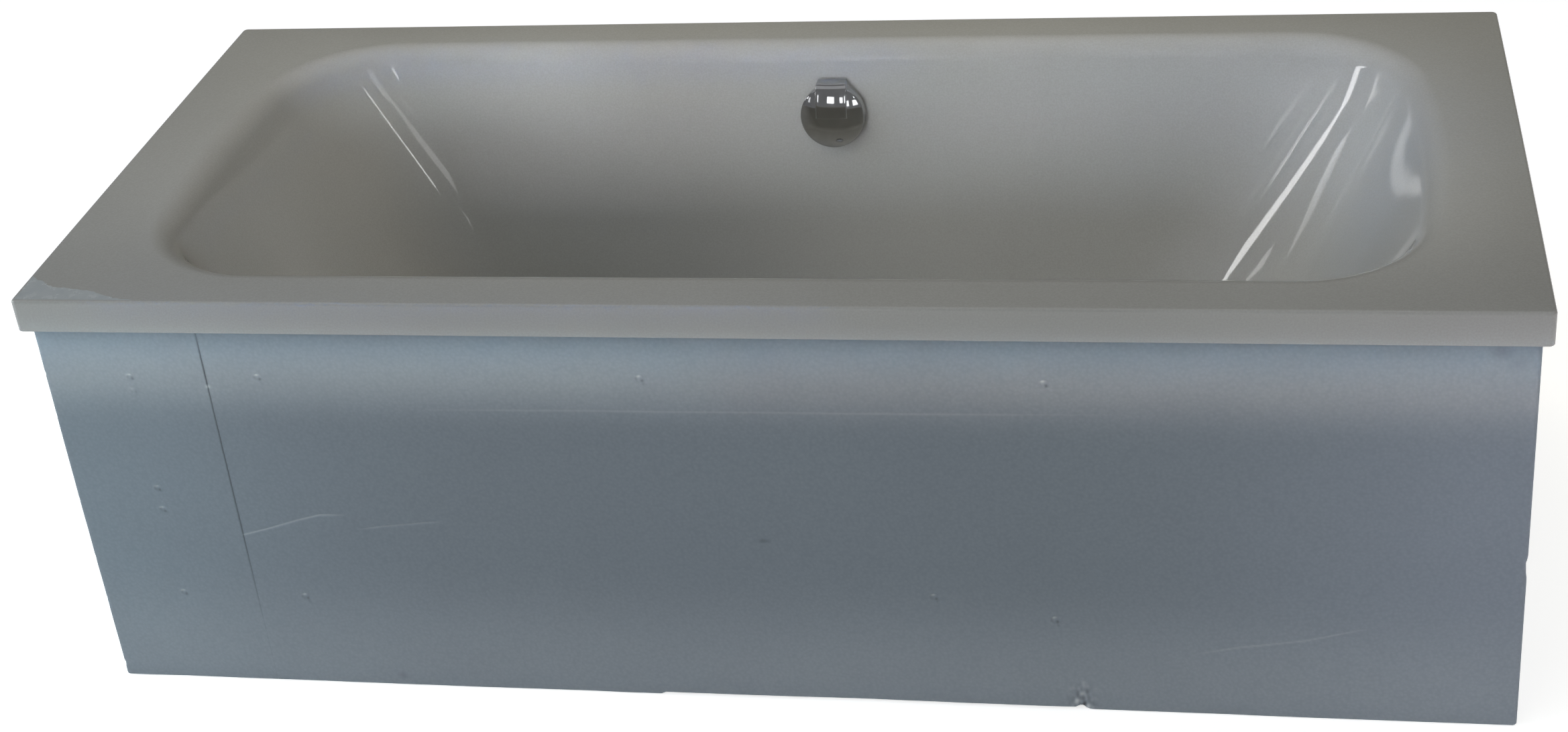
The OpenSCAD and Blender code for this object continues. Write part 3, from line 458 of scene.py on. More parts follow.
FRONT_BANDS = [(-790, -765, 1.4), (-682, -668, 1.2), (-668, -400, 2.6), (-617, -595, 1.1), (-142, -120, 1.1),
    (190, 212, 1.1), (332, 356, 1.1), (360, 388, 1.0), (500, 722, 3.2)]
HEIGHT_BANDS = [(0, 3, 0.6), (3, 46, 2.2), (88, 142, 2.2), (124, 178, 1.3), (230, 276, 1.4), (280, 310, 1.3),
    (420, 438, 1.3), (450, 486, 1.2), (FOAM_H - 3, FOAM_H, 0.8)]


def front_columns(x0, x1):
    xs = grid_lines(x0, x1, FOAM_STEP, [b for b in FRONT_BANDS if b[1] > x0 and b[0] < x1])
    return [(x, -FOAM_Y, 0, -1) for x in xs]


def foam_wall(name, path, inner, relief, bottom=None, heights=None, tone=None):
    """A foam piece: its outer face follows path and carries relief, and inner gives its hidden side."""
    zs = grid_lines(0, FOAM_H, FOAM_STEP, HEIGHT_BANDS) if heights is None else heights
    px, py, nx, ny = (np.array(c, float)[:, None] for c in zip(*path))
    z = np.repeat(zs[None, :], len(path), 0)
    if bottom is not None:
        low = bottom(px)
        z = np.where(z < FOOT_H, low + z * (FOOT_H - low) / FOOT_H, z)
    base = z[:, :1]
    r = FOAM_EDGE_R
    edge = r - np.sqrt(np.clip(r * r - np.clip(r - (z - base), 0, r) ** 2, 0, None))
    edge += r - np.sqrt(np.clip(r * r - np.clip(r - (FOAM_H - z), 0, r) ** 2, 0, None))
    ends = np.minimum(np.arange(len(path)), np.arange(len(path))[::-1])[:, None]
    edge += np.where(ends == 0, 0.15 + 0.95 * seam_share(z), 0.0)
    deep = np.maximum(relief(px + 0 * z, py + 0 * z, nx + 0 * z, z), LEAST_DEPTH) + edge
    outer = np.stack([px - nx * deep, py - ny * deep, z], 2)
    n, m = outer.shape[:2]
    verts = list(outer.reshape(-1, 3))
    faces = [(i * m + j, (i + 1) * m + j, (i + 1) * m + j + 1, i * m + j + 1)
        for i in range(n - 1) for j in range(m - 1)]
    first = len(verts)
    for i, p in enumerate(path):
        x, y = inner(p[0], p[1])
        verts += [(x, y, z[i, 0]), (x, y, FOAM_H)]
    for i in range(n - 1):
        a, b = first + 2 * i, first + 2 * i + 2
        faces.append((i * m, (i + 1) * m, b, a))
        faces.append((i * m + m - 1, (i + 1) * m + m - 1, b + 1, a + 1))
        faces.append((a, b, b + 1, a + 1))
    for i in (0, n - 1):
        faces.append(tuple(range(i * m, i * m + m)) + (first + 2 * i + 1, first + 2 * i))
    if tone is not None:
        front = (ny < -0.99) & (px < FOAM_X - 7)
        tone = np.concatenate([np.where(front, tone(px + 0 * z, z), 0).ravel(), np.zeros(len(verts) - first)])
    return mesh_piece(name, verts, faces, 40, tone)


def low_relief(x):
    """Height of a long wall's lower edge, which is raised over most of its middle."""
    low, high, rise = RELIEF
    return rise * np.clip((x - low) / 5, 0, 1) * np.clip((high + 2 - x) / 5, 0, 1)


def front_bottom(x):
    """The front's lower edge has a torn notch as well, at the relief's right end."""
    return low_relief(x) + 5.0 * np.clip(1 - np.abs(x - NOTCH_X) / 9, 0, 1)


def near_corner(x, y, side):
    """A share that falls off away from the upright corners on one side (-1 left, 1 right)."""
    return np.exp(-((x - side * FOAM_X) ** 2 + (np.abs(y) - FOAM_Y) ** 2) / 90)


def hidden_heights():
    """Coarse heights for a wall without marks, finer at its two rounded edges."""
    return grid_lines(0, FOAM_H, HIDDEN_STEP, [(0, 3, 0.6), (FOAM_H - 3, FOAM_H, 0.8)])


def edge_nicks(along, z, seed):
    """Small rough dents for an upright corner."""
    rough = ripple(along, z, seed, 10, 9, 40)
    return np.clip(rough - 0.9, 0, None) * 1.1


def foam_front():
    run = FOAM_X - FOAM_CORNER_R
    path = front_columns(SEAM_X + JOINT_GAP, run)
    path += corner_path(run, -FOAM_Y + FOAM_CORNER_R, FOAM_CORNER_R, math.radians(-90))[1:]
    path += [(FOAM_X, y, 1, 0) for y in np.linspace(-FOAM_Y + FOAM_CORNER_R, -FOAM_Y + FOAM_SIDE_T, 9)[1:]]

    def relief(x, y, nx, z):
        deep = front_relief(x, z) * (1 - nx)
        dent = 3.2 * np.exp(-((z - 230) / 9) ** 2 - ((y + FOAM_Y - 4) / 9) ** 2) * nx
        return 0.3 + deep + dent + near_corner(x, y, 1) * edge_nicks(z, y, 31)

    def inner(x, y):
        return min(x, FOAM_X - FOAM_LAP), -FOAM_Y + FOAM_SIDE_T
    return foam_wall("foam_front", path, inner, relief, front_bottom, tone=front_tone)


def foam_back():
    run = FOAM_X - FOAM_CORNER_R
    path = [(x, FOAM_Y, 0, 1) for x in grid_lines(SEAM_X + JOINT_GAP, run, BACK_STEP, [])]
    corner = corner_path(run, FOAM_Y - FOAM_CORNER_R, FOAM_CORNER_R, 0)
    path += corner[::-1][1:]
    path += [(FOAM_X, y, 1, 0) for y in np.linspace(FOAM_Y - FOAM_CORNER_R, FOAM_Y - FOAM_SIDE_T, 9)[1:]]
    waves = plain_relief(41)

    def relief(x, y, nx, z):
        return 0.9 + waves(x, z) * (1 - nx) + near_corner(x, y, 1) * edge_nicks(z, y, 42)

    def inner(x, y):
        return min(x, FOAM_X - FOAM_LAP), FOAM_Y - FOAM_SIDE_T
    wall = foam_wall("foam_back", path, inner, relief, low_relief, hidden_heights())
    low = FOAM_Y - FOAM_SIDE_T
    chase = block("chase", (-CHASE_W / 2, low - 9, -9), (CHASE_W / 2, FOAM_Y - CHASE_WALL, CHASE_TOP))
    drain = block("drain", (DRAIN_X0, low - 8, -8), (DRAIN_X1, FOAM_Y + 8, DRAIN_TOP))
    combine(wall, chase, "DIFFERENCE")
    return combine(wall, drain, "DIFFERENCE")


def block(name, low, high):
    """A plain cutter box."""
    (x0, y0, z0), (x1, y1, z1) = low, high
    verts = [(x, y, z) for z in (z0, z1) for y in (y0, y1) for x in (x0, x1)]
    faces = [(0, 1, 3, 2), (4, 5, 7, 6), (0, 1, 5, 4), (2, 3, 7, 6), (0, 2, 6, 4), (1, 3, 7, 5)]
    return mesh_piece(name, verts, faces)


def foam_left():
    run = -FOAM_X + FOAM_CORNER_R
    front = front_columns(run, SEAM_X - JOINT_GAP)[::-1]
    near = corner_path(run, -FOAM_Y + FOAM_CORNER_R, FOAM_CORNER_R, math.radians(180))[::-1]
    side = [(-FOAM_X, y, -1, 0) for y in np.linspace(-FOAM_Y + FOAM_CORNER_R, FOAM_Y - FOAM_CORNER_R, 90)]
    far = corner_path(run, FOAM_Y - FOAM_CORNER_R, FOAM_CORNER_R, math.radians(90))[::-1]
    back = [(x, FOAM_Y, 0, 1) for x in grid_lines(run, SEAM_X - JOINT_GAP, HIDDEN_STEP, [])]
    path = front + near[1:] + side[1:] + far[1:] + back[1:]

    def relief(x, y, nx, z):
        front_share = np.clip(-(y + FOAM_Y - 8) / 8, 0, 1)
        deep = front_relief(x, z) * front_share + left_relief(y, z) * (1 - front_share)
        up = np.clip((z - LEAN_Z) / (FOAM_H - LEAN_Z), 0, 1)
        top = LEAN * up**2 * np.exp(-np.clip(x + FOAM_X, 0, None) / 12)
        return 0.3 + deep + top + near_corner(x, y, -1) * edge_nicks(z, y, 32)

    def inner(x, y):
        keep = FOAM_Y - FOAM_SIDE_T
        return max(x, -FOAM_X + FOAM_END_T), min(max(y, -keep), keep)
    return foam_wall("foam_left", path, inner, relief, tone=front_tone)


def foam_right():
    keep = FOAM_Y - FOAM_SIDE_T - JOINT_GAP
    path = [(FOAM_X, y, 1, 0) for y in np.linspace(-keep, keep, 70)]
    waves = plain_relief(51)

    def relief(x, y, nx, z):
        return 0.9 + waves(y, z)

    def inner(x, y):
        return FOAM_X - FOAM_END_T, y
    return foam_wall("foam_right", path, inner, relief, None, hidden_heights())


# Chrome pieces

def cap_radius(r, h):
    return (r * r + h * h) / (2 * h)


def knob_disc():
    top = KNOB_GAP + KNOB_RIM + KNOB_DOME
    ball = cap_radius(KNOB_R, KNOB_DOME)
    rim_z = KNOB_GAP + KNOB_RIM
    inside = rim_z - KNOB_T
    profile = [(0, inside + 1), (SPINDLE_R, inside + 1), (SPINDLE_R, KNOB_GAP - 1.5), (HUB_R, KNOB_GAP - 1.5)]
    profile += [(HUB_R, inside), (KNOB_R - KNOB_T, inside), (KNOB_R - KNOB_T, KNOB_GAP + 0.4)]
    profile += [(KNOB_R - KNOB_T + 0.4, KNOB_GAP)] + arc(KNOB_R - 0.8, KNOB_GAP + 0.8, 0.8, -90, 0, 4)
    tilt = math.degrees(math.asin((KNOB_R - 1) / ball))
    profile += arc(KNOB_R - 1, rim_z - 0.75, 1.0, 0, 90 - tilt, 5)
    start = math.degrees(math.acos((KNOB_R - 1) / ball))
    dome = arc(0, top - ball, ball, start, 90, 36)
    profile += dome[1:-1] + [(0, top)]
    return lathe("knob_chrome", profile, 160, at_overflow())


def knob_lug():
    """The flatter band that runs from the knob's centre out past its edge as a finger lug."""
    top = KNOB_GAP + KNOB_RIM + KNOB_DOME
    ball = cap_radius(KNOB_R, KNOB_DOME - LUG_RISE)
    inside = KNOB_GAP + KNOB_RIM - KNOB_T + 1
    end, edge, corner = KNOB_R + LUG_OUT, 0.9, 3.0
    stations = [(y, inside) for y in np.linspace(0.5, 40, 28)] + [(40.01, KNOB_GAP)]
    stations += [(y, KNOB_GAP) for y in np.linspace(41, end - corner, 6)]
    stations += [(end - corner + corner * math.sin(math.radians(a)), KNOB_GAP) for a in range(10, 91, 10)]
    place = at_overflow()
    rows = []
    for y, low in stations:
        back = max(0.0, y - (end - corner))
        half = LUG_HALF - corner + math.sqrt(max(corner**2 - back**2, 0.04))
        fall = edge * (1 - math.sqrt(max(0.0, 1 - max(0.0, (y - end + edge) / edge) ** 2)))
        xs = [-half, -half] + [-half + edge * (1 - math.cos(math.radians(a))) for a in (30, 60)]
        xs += list(np.linspace(-half + edge, half - edge, 15)) + [-x for x in xs[:1:-1]] + [half, half]
        row = []
        for k, x in enumerate(xs):
            z = top - ball + math.sqrt(ball * ball - x * x - y * y) - fall
            side = max(0.0, abs(x) - half + edge) / edge
            z -= edge * (1 - math.sqrt(max(0.0, 1 - side * side)))
            if k in (0, len(xs) - 1):
                z = low
            lean = 0.10 * max(0.0, z - KNOB_GAP) * min(1.0, max(0.0, (y - 41) / 6))
            row.append(place @ Vector((x, y - lean, z)))
        rows.append(row)
    n = len(rows[0])
    verts = [v for row in rows for v in row]
    faces = ring_faces(len(rows), n)
    faces += [tuple(range(n)), tuple(range((len(rows) - 1) * n, len(rows) * n))]
    return mesh_piece("lug", verts, faces)


def plug_piece():
    """The plug's chrome dome with a turned edge and a shallow ring."""
    low = PLUG_LOW
    crown = cap_radius(PLUG_R - 2, PLUG_H - 3.2)
    seat = low + PLUG_H / 2
    profile = [(0, seat), (PLUG_STEM_R, seat), (PLUG_STEM_R, low), (PLUG_R - 0.8, low)]
    profile += arc(PLUG_R - 0.8, low + 0.8, 0.8, -80, 0, 4) + [(PLUG_R, low + 1.6)]
    profile += arc(PLUG_R - 1.6, low + 1.6, 1.6, 10, 70, 5)
    start = math.degrees(math.acos((PLUG_R - 2) / crown))
    profile += arc(0, low + PLUG_H - crown, crown, start, 90, 22)[:-1] + [(0, low + PLUG_H)]
    return lathe("plug_chrome", profile, 128)


# Materials

def shader(name, **sockets):
    """A new material with a Principled shader; returns it with its nodes, links and shader."""
    mat = bpy.data.materials.new(name)
    mat.use_nodes = True
    nodes, links = mat.node_tree.nodes, mat.node_tree.links
    bsdf = nodes["Principled BSDF"]
    for key, value in sockets.items():
        bsdf.inputs[key.replace("_", " ")].default_value = value
    return mat, nodes, links, bsdf


def place_coords(nodes, links, scale=(1, 1, 1)):
    """Object coordinates in metres, times a scale."""
    coord = nodes.new("ShaderNodeTexCoord")
    mapping = nodes.new("ShaderNodeMapping")
    mapping.inputs["Scale"].default_value = scale
    links.new(coord.outputs["Object"], mapping.inputs["Vector"])
    return mapping.outputs["Vector"]


def noise(nodes, links, vector, scale, detail=4.0, rough=0.5):
    tex = nodes.new("ShaderNodeTexNoise")
    tex.inputs["Scale"].default_value = scale
    tex.inputs["Detail"].default_value = detail
    tex.inputs["Roughness"].default_value = rough
    links.new(vector, tex.inputs["Vector"])
    return tex.outputs["Fac"]


def ramp(nodes, links, factor, stops):
    """A colour ramp from (position, colour) stops."""
    node = nodes.new("ShaderNodeValToRGB")
    items = node.color_ramp.elements
    while len(items) < len(stops):
        items.new(0.5)
    for item, (at, colour) in zip(items, stops):
        item.position = at
        item.color = (*colour, 1)
    links.new(factor, node.inputs["Fac"])
    return node.outputs["Color"]


def spread(nodes, links, factor, low, high, start=0.3, end=0.7):
    """Maps a factor to a range of values."""
    node = nodes.new("ShaderNodeMapRange")
    node.inputs["From Min"].default_value = start
    node.inputs["From Max"].default_value = end
    node.inputs["To Min"].default_value = low
    node.inputs["To Max"].default_value = high
    links.new(factor, node.inputs["Value"])
    return node.outputs["Result"]


def bump(nodes, links, height, strength, distance, after=None):
    node = nodes.new("ShaderNodeBump")
    node.inputs["Strength"].default_value = strength
    node.inputs["Distance"].default_value = distance
    links.new(height, node.inputs["Height"])
    if after is not None:
        links.new(after, node.inputs["Normal"])
    return node.outputs["Normal"]


def mix(nodes, links, factor, first, second, kind="MIX"):
    """Mixes two colours; each is a socket or a tuple."""
    node = nodes.new("ShaderNodeMix")
    node.data_type = "RGBA"
    node.blend_type = kind
    for socket, value in ((node.inputs[0], factor), (node.inputs[6], first), (node.inputs[7], second)):
        if isinstance(value, (tuple, float, int)):
            socket.default_value = value if not isinstance(value, tuple) else (*value[:3], 1)
        else:
            links.new(value, socket)
    return node.outputs[2]


def spot(nodes, links, centre, radii):
    """A soft spot: 1 at centre and 0 at its edge, in object coordinates in metres."""
    coord = nodes.new("ShaderNodeTexCoord")
    shift = nodes.new("ShaderNodeVectorMath")
    shift.operation = "SUBTRACT"
    shift.inputs[1].default_value = centre
    links.new(coord.outputs["Object"], shift.inputs[0])
    size = nodes.new("ShaderNodeVectorMath")
    size.operation = "DIVIDE"
    size.inputs[1].default_value = radii
    links.new(shift.outputs[0], size.inputs[0])
    length = nodes.new("ShaderNodeVectorMath")
    length.operation = "LENGTH"
    links.new(size.outputs[0], length.inputs[0])
    return spread(nodes, links, length.outputs["Value"], 1.0, 0.0, 0.15, 1.0)


def acrylic_material():
    """Glossy sanitary acrylic with fine dust and a soft ripple in its skin."""
    mat, nodes, links, bsdf = shader("acrylic", IOR=1.49)
    vector = place_coords(nodes, links)
    cloud = noise(nodes, links, vector, 3.0, 3.0)
    grain = noise(nodes, links, vector, 420.0, 2.0)
    base = ramp(nodes, links, cloud, [(0.3, (0.360, 0.360, 0.347)), (0.7, (0.387, 0.388, 0.375))])
    speck = ramp(nodes, links, grain, [(0.35, (0.95, 0.95, 0.945)), (0.7, (1.03, 1.03, 1.035))])
    links.new(mix(nodes, links, 1.0, base, speck, "MULTIPLY"), bsdf.inputs["Base Color"])
    haze = noise(nodes, links, vector, 26.0, 5.0, 0.6)
    links.new(spread(nodes, links, haze, 0.014, 0.034), bsdf.inputs["Roughness"])
    wave = noise(nodes, links, vector, 9.0, 2.0)
    soft = bump(nodes, links, wave, 0.10, 0.0012)
    links.new(bump(nodes, links, grain, 0.04, 0.0002, soft), bsdf.inputs["Normal"])
    return mat


# Dark smudges on the foam's front: centre and radii in metres, strength
STAINS = [((0.845, -0.388, 0.523), (0.016, 0.03, 0.013), 0.30),
    ((0.862, -0.388, 0.508), (0.014, 0.03, 0.012), 0.16),
    ((-0.501, -0.388, 0.016), (0.008, 0.03, 0.008), 0.35),
    ((0.373, -0.388, 0.02), (0.016, 0.03, 0.024), 0.12)]


def foam_material():
    """Moulded bead foam: fine cells, a matt skin and handling marks, with a painted highlight and painted
    shade on each pressed mark.
    """
    mat, nodes, links, bsdf = shader("foam", IOR=1.45)
    vector = place_coords(nodes, links)
    cells = nodes.new("ShaderNodeTexVoronoi")
    cells.feature = "SMOOTH_F1"
    cells.inputs["Scale"].default_value = 260.0
    links.new(vector, cells.inputs["Vector"])
    cloud = noise(nodes, links, vector, 4.5, 4.0, 0.55)
    base = ramp(nodes, links, cloud, [(0.3, (0.213, 0.249, 0.287)), (0.7, (0.236, 0.275, 0.313))])
    stops = [(0.0, (1.05, 1.05, 1.05)), (0.7, (0.93, 0.93, 0.935))]
    tint = ramp(nodes, links, cells.outputs["Distance"], stops)
    skin = mix(nodes, links, 1.0, base, tint, "MULTIPLY")
    tone = nodes.new("ShaderNodeAttribute")
    tone.attribute_name = "tone"
    pale = spread(nodes, links, tone.outputs["Fac"], 0.0, 1.0, 0.0, 1.0)
    dark = spread(nodes, links, tone.outputs["Fac"], 1.0, 0.0, -1.0, 0.0)
    # pale carries scratches and the painted highlights at the pressed marks; dark carries the seam, a stain
    # and the painted shade at the marks
    skin = mix(nodes, links, pale, skin, (0.52, 0.56, 0.60))
    skin = mix(nodes, links, dark, skin, (0.045, 0.05, 0.055))
    for centre, radii, amount in STAINS:
        soft = spot(nodes, links, centre, radii)
        level = nodes.new("ShaderNodeMath")
        level.operation = "MULTIPLY"
        level.inputs[1].default_value = amount
        links.new(soft, level.inputs[0])
        skin = mix(nodes, links, level.outputs[0], skin, (0.11, 0.10, 0.13))
    links.new(skin, bsdf.inputs["Base Color"])
    links.new(spread(nodes, links, cloud, 0.62, 0.78), bsdf.inputs["Roughness"])
    beads = bump(nodes, links, cells.outputs["Distance"], 0.25, 0.0007)
    fine = noise(nodes, links, vector, 900.0, 2.0)
    links.new(bump(nodes, links, fine, 0.10, 0.0002, beads), bsdf.inputs["Normal"])
    return mat


def chrome_material():
    mat, nodes, links, bsdf = shader("chrome", Metallic=1.0)
    vector = place_coords(nodes, links)
    water = noise(nodes, links, vector, 60.0, 4.0)
    base = ramp(nodes, links, water, [(0.3, (0.52, 0.53, 0.55)), (0.7, (0.58, 0.59, 0.61))])
    links.new(base, bsdf.inputs["Base Color"])
    links.new(spread(nodes, links, water, 0.03, 0.09), bsdf.inputs["Roughness"])
    wave = noise(nodes, links, vector, 90.0, 2.0)
    links.new(bump(nodes, links, wave, 0.03, 0.0004), bsdf.inputs["Normal"])
    return mat


def steel_material():
    mat, nodes, links, bsdf = shader("steel", Metallic=1.0)
    vector = place_coords(nodes, links, (1, 1, 18))
    brush = noise(nodes, links, vector, 160.0, 4.0)
    base = ramp(nodes, links, brush, [(0.3, (0.50, 0.51, 0.53)), (0.7, (0.60, 0.61, 0.63))])
    links.new(base, bsdf.inputs["Base Color"])
    links.new(spread(nodes, links, brush, 0.22, 0.42), bsdf.inputs["Roughness"])
    links.new(bump(nodes, links, brush, 0.08, 0.0002), bsdf.inputs["Normal"])
    return mat


def plastic_material():
    mat, nodes, links, bsdf = shader("plastic", IOR=1.49)
    vector = place_coords(nodes, links)
    cloud = noise(nodes, links, vector, 18.0, 4.0)
    grain = noise(nodes, links, vector, 700.0, 2.0)
    base = ramp(nodes, links, cloud, [(0.3, (0.66, 0.66, 0.63)), (0.7, (0.74, 0.74, 0.71))])
    links.new(base, bsdf.inputs["Base Color"])
    links.new(spread(nodes, links, grain, 0.34, 0.52), bsdf.inputs["Roughness"])
    links.new(bump(nodes, links, grain, 0.12, 0.0003), bsdf.inputs["Normal"])
    return mat


def rubber_material():
    mat, nodes, links, bsdf = shader("rubber", IOR=1.52)
    vector = place_coords(nodes, links)
    cloud = noise(nodes, links, vector, 40.0, 4.0)
    grain = noise(nodes, links, vector, 1100.0, 2.0)
    base = ramp(nodes, links, cloud, [(0.3, (0.012, 0.012, 0.012)), (0.7, (0.022, 0.022, 0.023))])
    links.new(base, bsdf.inputs["Base Color"])
    links.new(spread(nodes, links, grain, 0.55, 0.75), bsdf.inputs["Roughness"])
    links.new(bump(nodes, links, grain, 0.2, 0.0003), bsdf.inputs["Normal"])
    return mat


def chipboard_material():
    """Raw chipboard: pressed flakes of several tones with dark gaps."""
    mat, nodes, links, bsdf = shader("chipboard", IOR=1.45)
    vector = place_coords(nodes, links, (1, 2.6, 1.8))
    flakes = nodes.new("ShaderNodeTexVoronoi")
    flakes.inputs["Scale"].default_value = 110.0
    links.new(vector, flakes.inputs["Vector"])
    tone = nodes.new("ShaderNodeSeparateColor")
    links.new(flakes.outputs["Color"], tone.inputs["Color"])
    stops = [(0.0, (0.20, 0.12, 0.055)), (0.35, (0.40, 0.27, 0.13))]
    stops += [(0.7, (0.50, 0.36, 0.19)), (1.0, (0.62, 0.48, 0.28))]
    base = ramp(nodes, links, tone.outputs["Red"], stops)
    dust = noise(nodes, links, vector, 300.0, 4.0)
    shade = ramp(nodes, links, dust, [(0.3, (0.85, 0.84, 0.82)), (0.7, (1.05, 1.05, 1.05))])
    links.new(mix(nodes, links, 1.0, base, shade, "MULTIPLY"), bsdf.inputs["Base Color"])
    links.new(spread(nodes, links, dust, 0.7, 0.9), bsdf.inputs["Roughness"])
    links.new(bump(nodes, links, flakes.outputs["Distance"], 0.3, 0.0006), bsdf.inputs["Normal"])
    return mat


def film_material():
    """A torn corner of thin protective film."""
    mat, nodes, links, bsdf = shader("film", IOR=1.5)
    vector = place_coords(nodes, links)
    crease = noise(nodes, links, vector, 70.0, 5.0, 0.6)
    base = ramp(nodes, links, crease, [(0.3, (0.39, 0.42, 0.44)), (0.75, (0.45, 0.48, 0.49))])
    links.new(base, bsdf.inputs["Base Color"])
    links.new(spread(nodes, links, crease, 0.12, 0.35), bsdf.inputs["Roughness"])
    links.new(bump(nodes, links, crease, 0.12, 0.0005), bsdf.inputs["Normal"])
    return mat


# How white the floor is to the camera, and how bright the world is as a light
FLOOR_GLOW, AMBIENT = 0.68, 0.15


def background_rays(nodes, links):
    """1 for the rays that show the background: the camera's own, and mirrored or refracted ones."""
    path = nodes.new("ShaderNodeLightPath")
    seen = path.outputs["Is Camera Ray"]
    for other in ("Is Glossy Ray", "Is Transmission Ray"):
        top = nodes.new("ShaderNodeMath")
        top.operation = "MAXIMUM"
        links.new(seen, top.inputs[0])
        links.new(path.outputs[other], top.inputs[1])
        seen = top.outputs[0]
    return seen


def floor_material():
    """Pale studio floor, white to the camera and still holding a shadow."""
    mat, nodes, links, bsdf = shader("studio_floor", Roughness=0.9)
    vector = place_coords(nodes, links)
    cloud = noise(nodes, links, vector, 1.5, 3.0)
    base = ramp(nodes, links, cloud, [(0.3, (0.80, 0.80, 0.80)), (0.7, (0.83, 0.83, 0.83))])
    links.new(base, bsdf.inputs["Base Color"])
    glow = nodes.new("ShaderNodeEmission")
    links.new(background_rays(nodes, links), glow.inputs["Strength"])
    glow.inputs["Color"].default_value = (FLOOR_GLOW, FLOOR_GLOW, FLOOR_GLOW, 1)
    both = nodes.new("ShaderNodeAddShader")
    links.new(bsdf.outputs["BSDF"], both.inputs[0])
    links.new(glow.outputs["Emission"], both.inputs[1])
    links.new(both.outputs["Shader"], nodes["Material Output"].inputs["Surface"])
    return mat


# Studio

def world():
    """White to the camera and in reflections, and a dim even light everywhere else."""
    made = bpy.data.worlds.new("studio")
    bpy.context.scene.world = made
    made.use_nodes = True
    nodes, links = made.node_tree.nodes, made.node_tree.links
    dim = nodes["Background"]
    dim.inputs["Color"].default_value = (1, 1, 1, 1)
    dim.inputs["Strength"].default_value = AMBIENT
    white = nodes.new("ShaderNodeBackground")
    white.inputs["Color"].default_value = (1, 1, 1, 1)
    pick = nodes.new("ShaderNodeMixShader")
    links.new(background_rays(nodes, links), pick.inputs["Fac"])
    links.new(dim.outputs["Background"], pick.inputs[1])
    links.new(white.outputs["Background"], pick.inputs[2])
    links.new(pick.outputs["Shader"], nodes["World Output"].inputs["Surface"])


def area_light(name, at, target, size, colour, beam=180, gloss=True, roll=0.0):
    """A rectangle of light aimed at a point; colour is its brightness in red, green and blue."""
    data = bpy.data.lights.new(name, "AREA")
    data.shape = "RECTANGLE"
    data.size, data.size_y = size
    level = max(colour)
    data.energy = level * math.pi * size[0] * size[1]
    data.color = [c / level for c in colour]
    data.spread = math.radians(beam)
    lamp = bpy.data.objects.new(name, data)
    lamp.location = at
    aim = Vector(target) - Vector(at)
    lamp.rotation_mode = "QUATERNION"
    lamp.rotation_quaternion = aim.to_track_quat("-Z", "Y") @ Quaternion((0, 0, 1), roll)
    lamp.visible_camera = False
    lamp.visible_glossy = gloss
    bpy.context.scene.collection.objects.link(lamp)


def bar_light(name, start, end, thick, target, level):
    """A narrow lamp that runs from start to end and faces target."""
    middle, along = (Vector(start) + Vector(end)) / 2, Vector(end) - Vector(start)
    back = (middle - Vector(target)).normalized()
    right = Vector((0, 0, 1)).cross(back).normalized()
    roll = math.atan2(along.dot(back.cross(right)), along.dot(right))
    area_light(name, middle, target, (along.length, thick), (level, level, level), roll=roll)


# Windows in front, as the knob mirrors them from WINDOW_EYE: turn from the front, lowest and highest
# elevation and width in degrees, brightness
WINDOW_EYE, WINDOW_GAP = (0.0, 0.3, 0.49), 5.0
WINDOWS = [(-49, 11, 19, 3, 1.0), (-30, 10.5, 19.5, 5, 2.0), (-10, 11, 19.5, 9.5, 2.2),
    (4.5, 11.5, 19, 3.8, 2.0), (18, 10.5, 19.5, 6, 2.0), (32, 10, 19, 8.5, 2.0)]

# Narrow lamps, which the glossy skin shows as streaks: start, end, thickness, aim, brightness
STREAKS = [("streak_a1", (-4.24, -2.22, 1.98), (-4.24, -2.22, 2.36), 0.05, (0.66, 0.28, 0.49), 12.0),
    ("streak_a2", (-4.18, -2.38, 1.98), (-4.18, -2.38, 2.36), 0.05, (0.66, 0.28, 0.49), 9.0),
    ("streak_b", (-4.28, -0.1, 2.10), (-4.22, -1.30, 1.57), 0.23, (0.62, 0.25, 0.40), 10.0),
    ("streak_c1", (-4.45, 0.15, 1.42), (-4.11, 1.70, 1.50), 0.10, (0.65, 0.21, 0.40), 3.0),
    ("streak_c2", (-4.11, 1.66, 1.52), (-3.62, 2.75, 1.14), 0.12, (0.65, 0.21, 0.40), 3.0),
    ("streak_left", (2.62, -3.46, 2.44), (2.62, -3.46, 2.78), 0.12, (-0.66, 0.28, 0.495), 9.0),
    ("low_strip", (-1.30, -5.0, 0.89), (-0.30, -5.0, 0.89), 0.10, (-0.14, 0.31, 0.557), 8.0)]

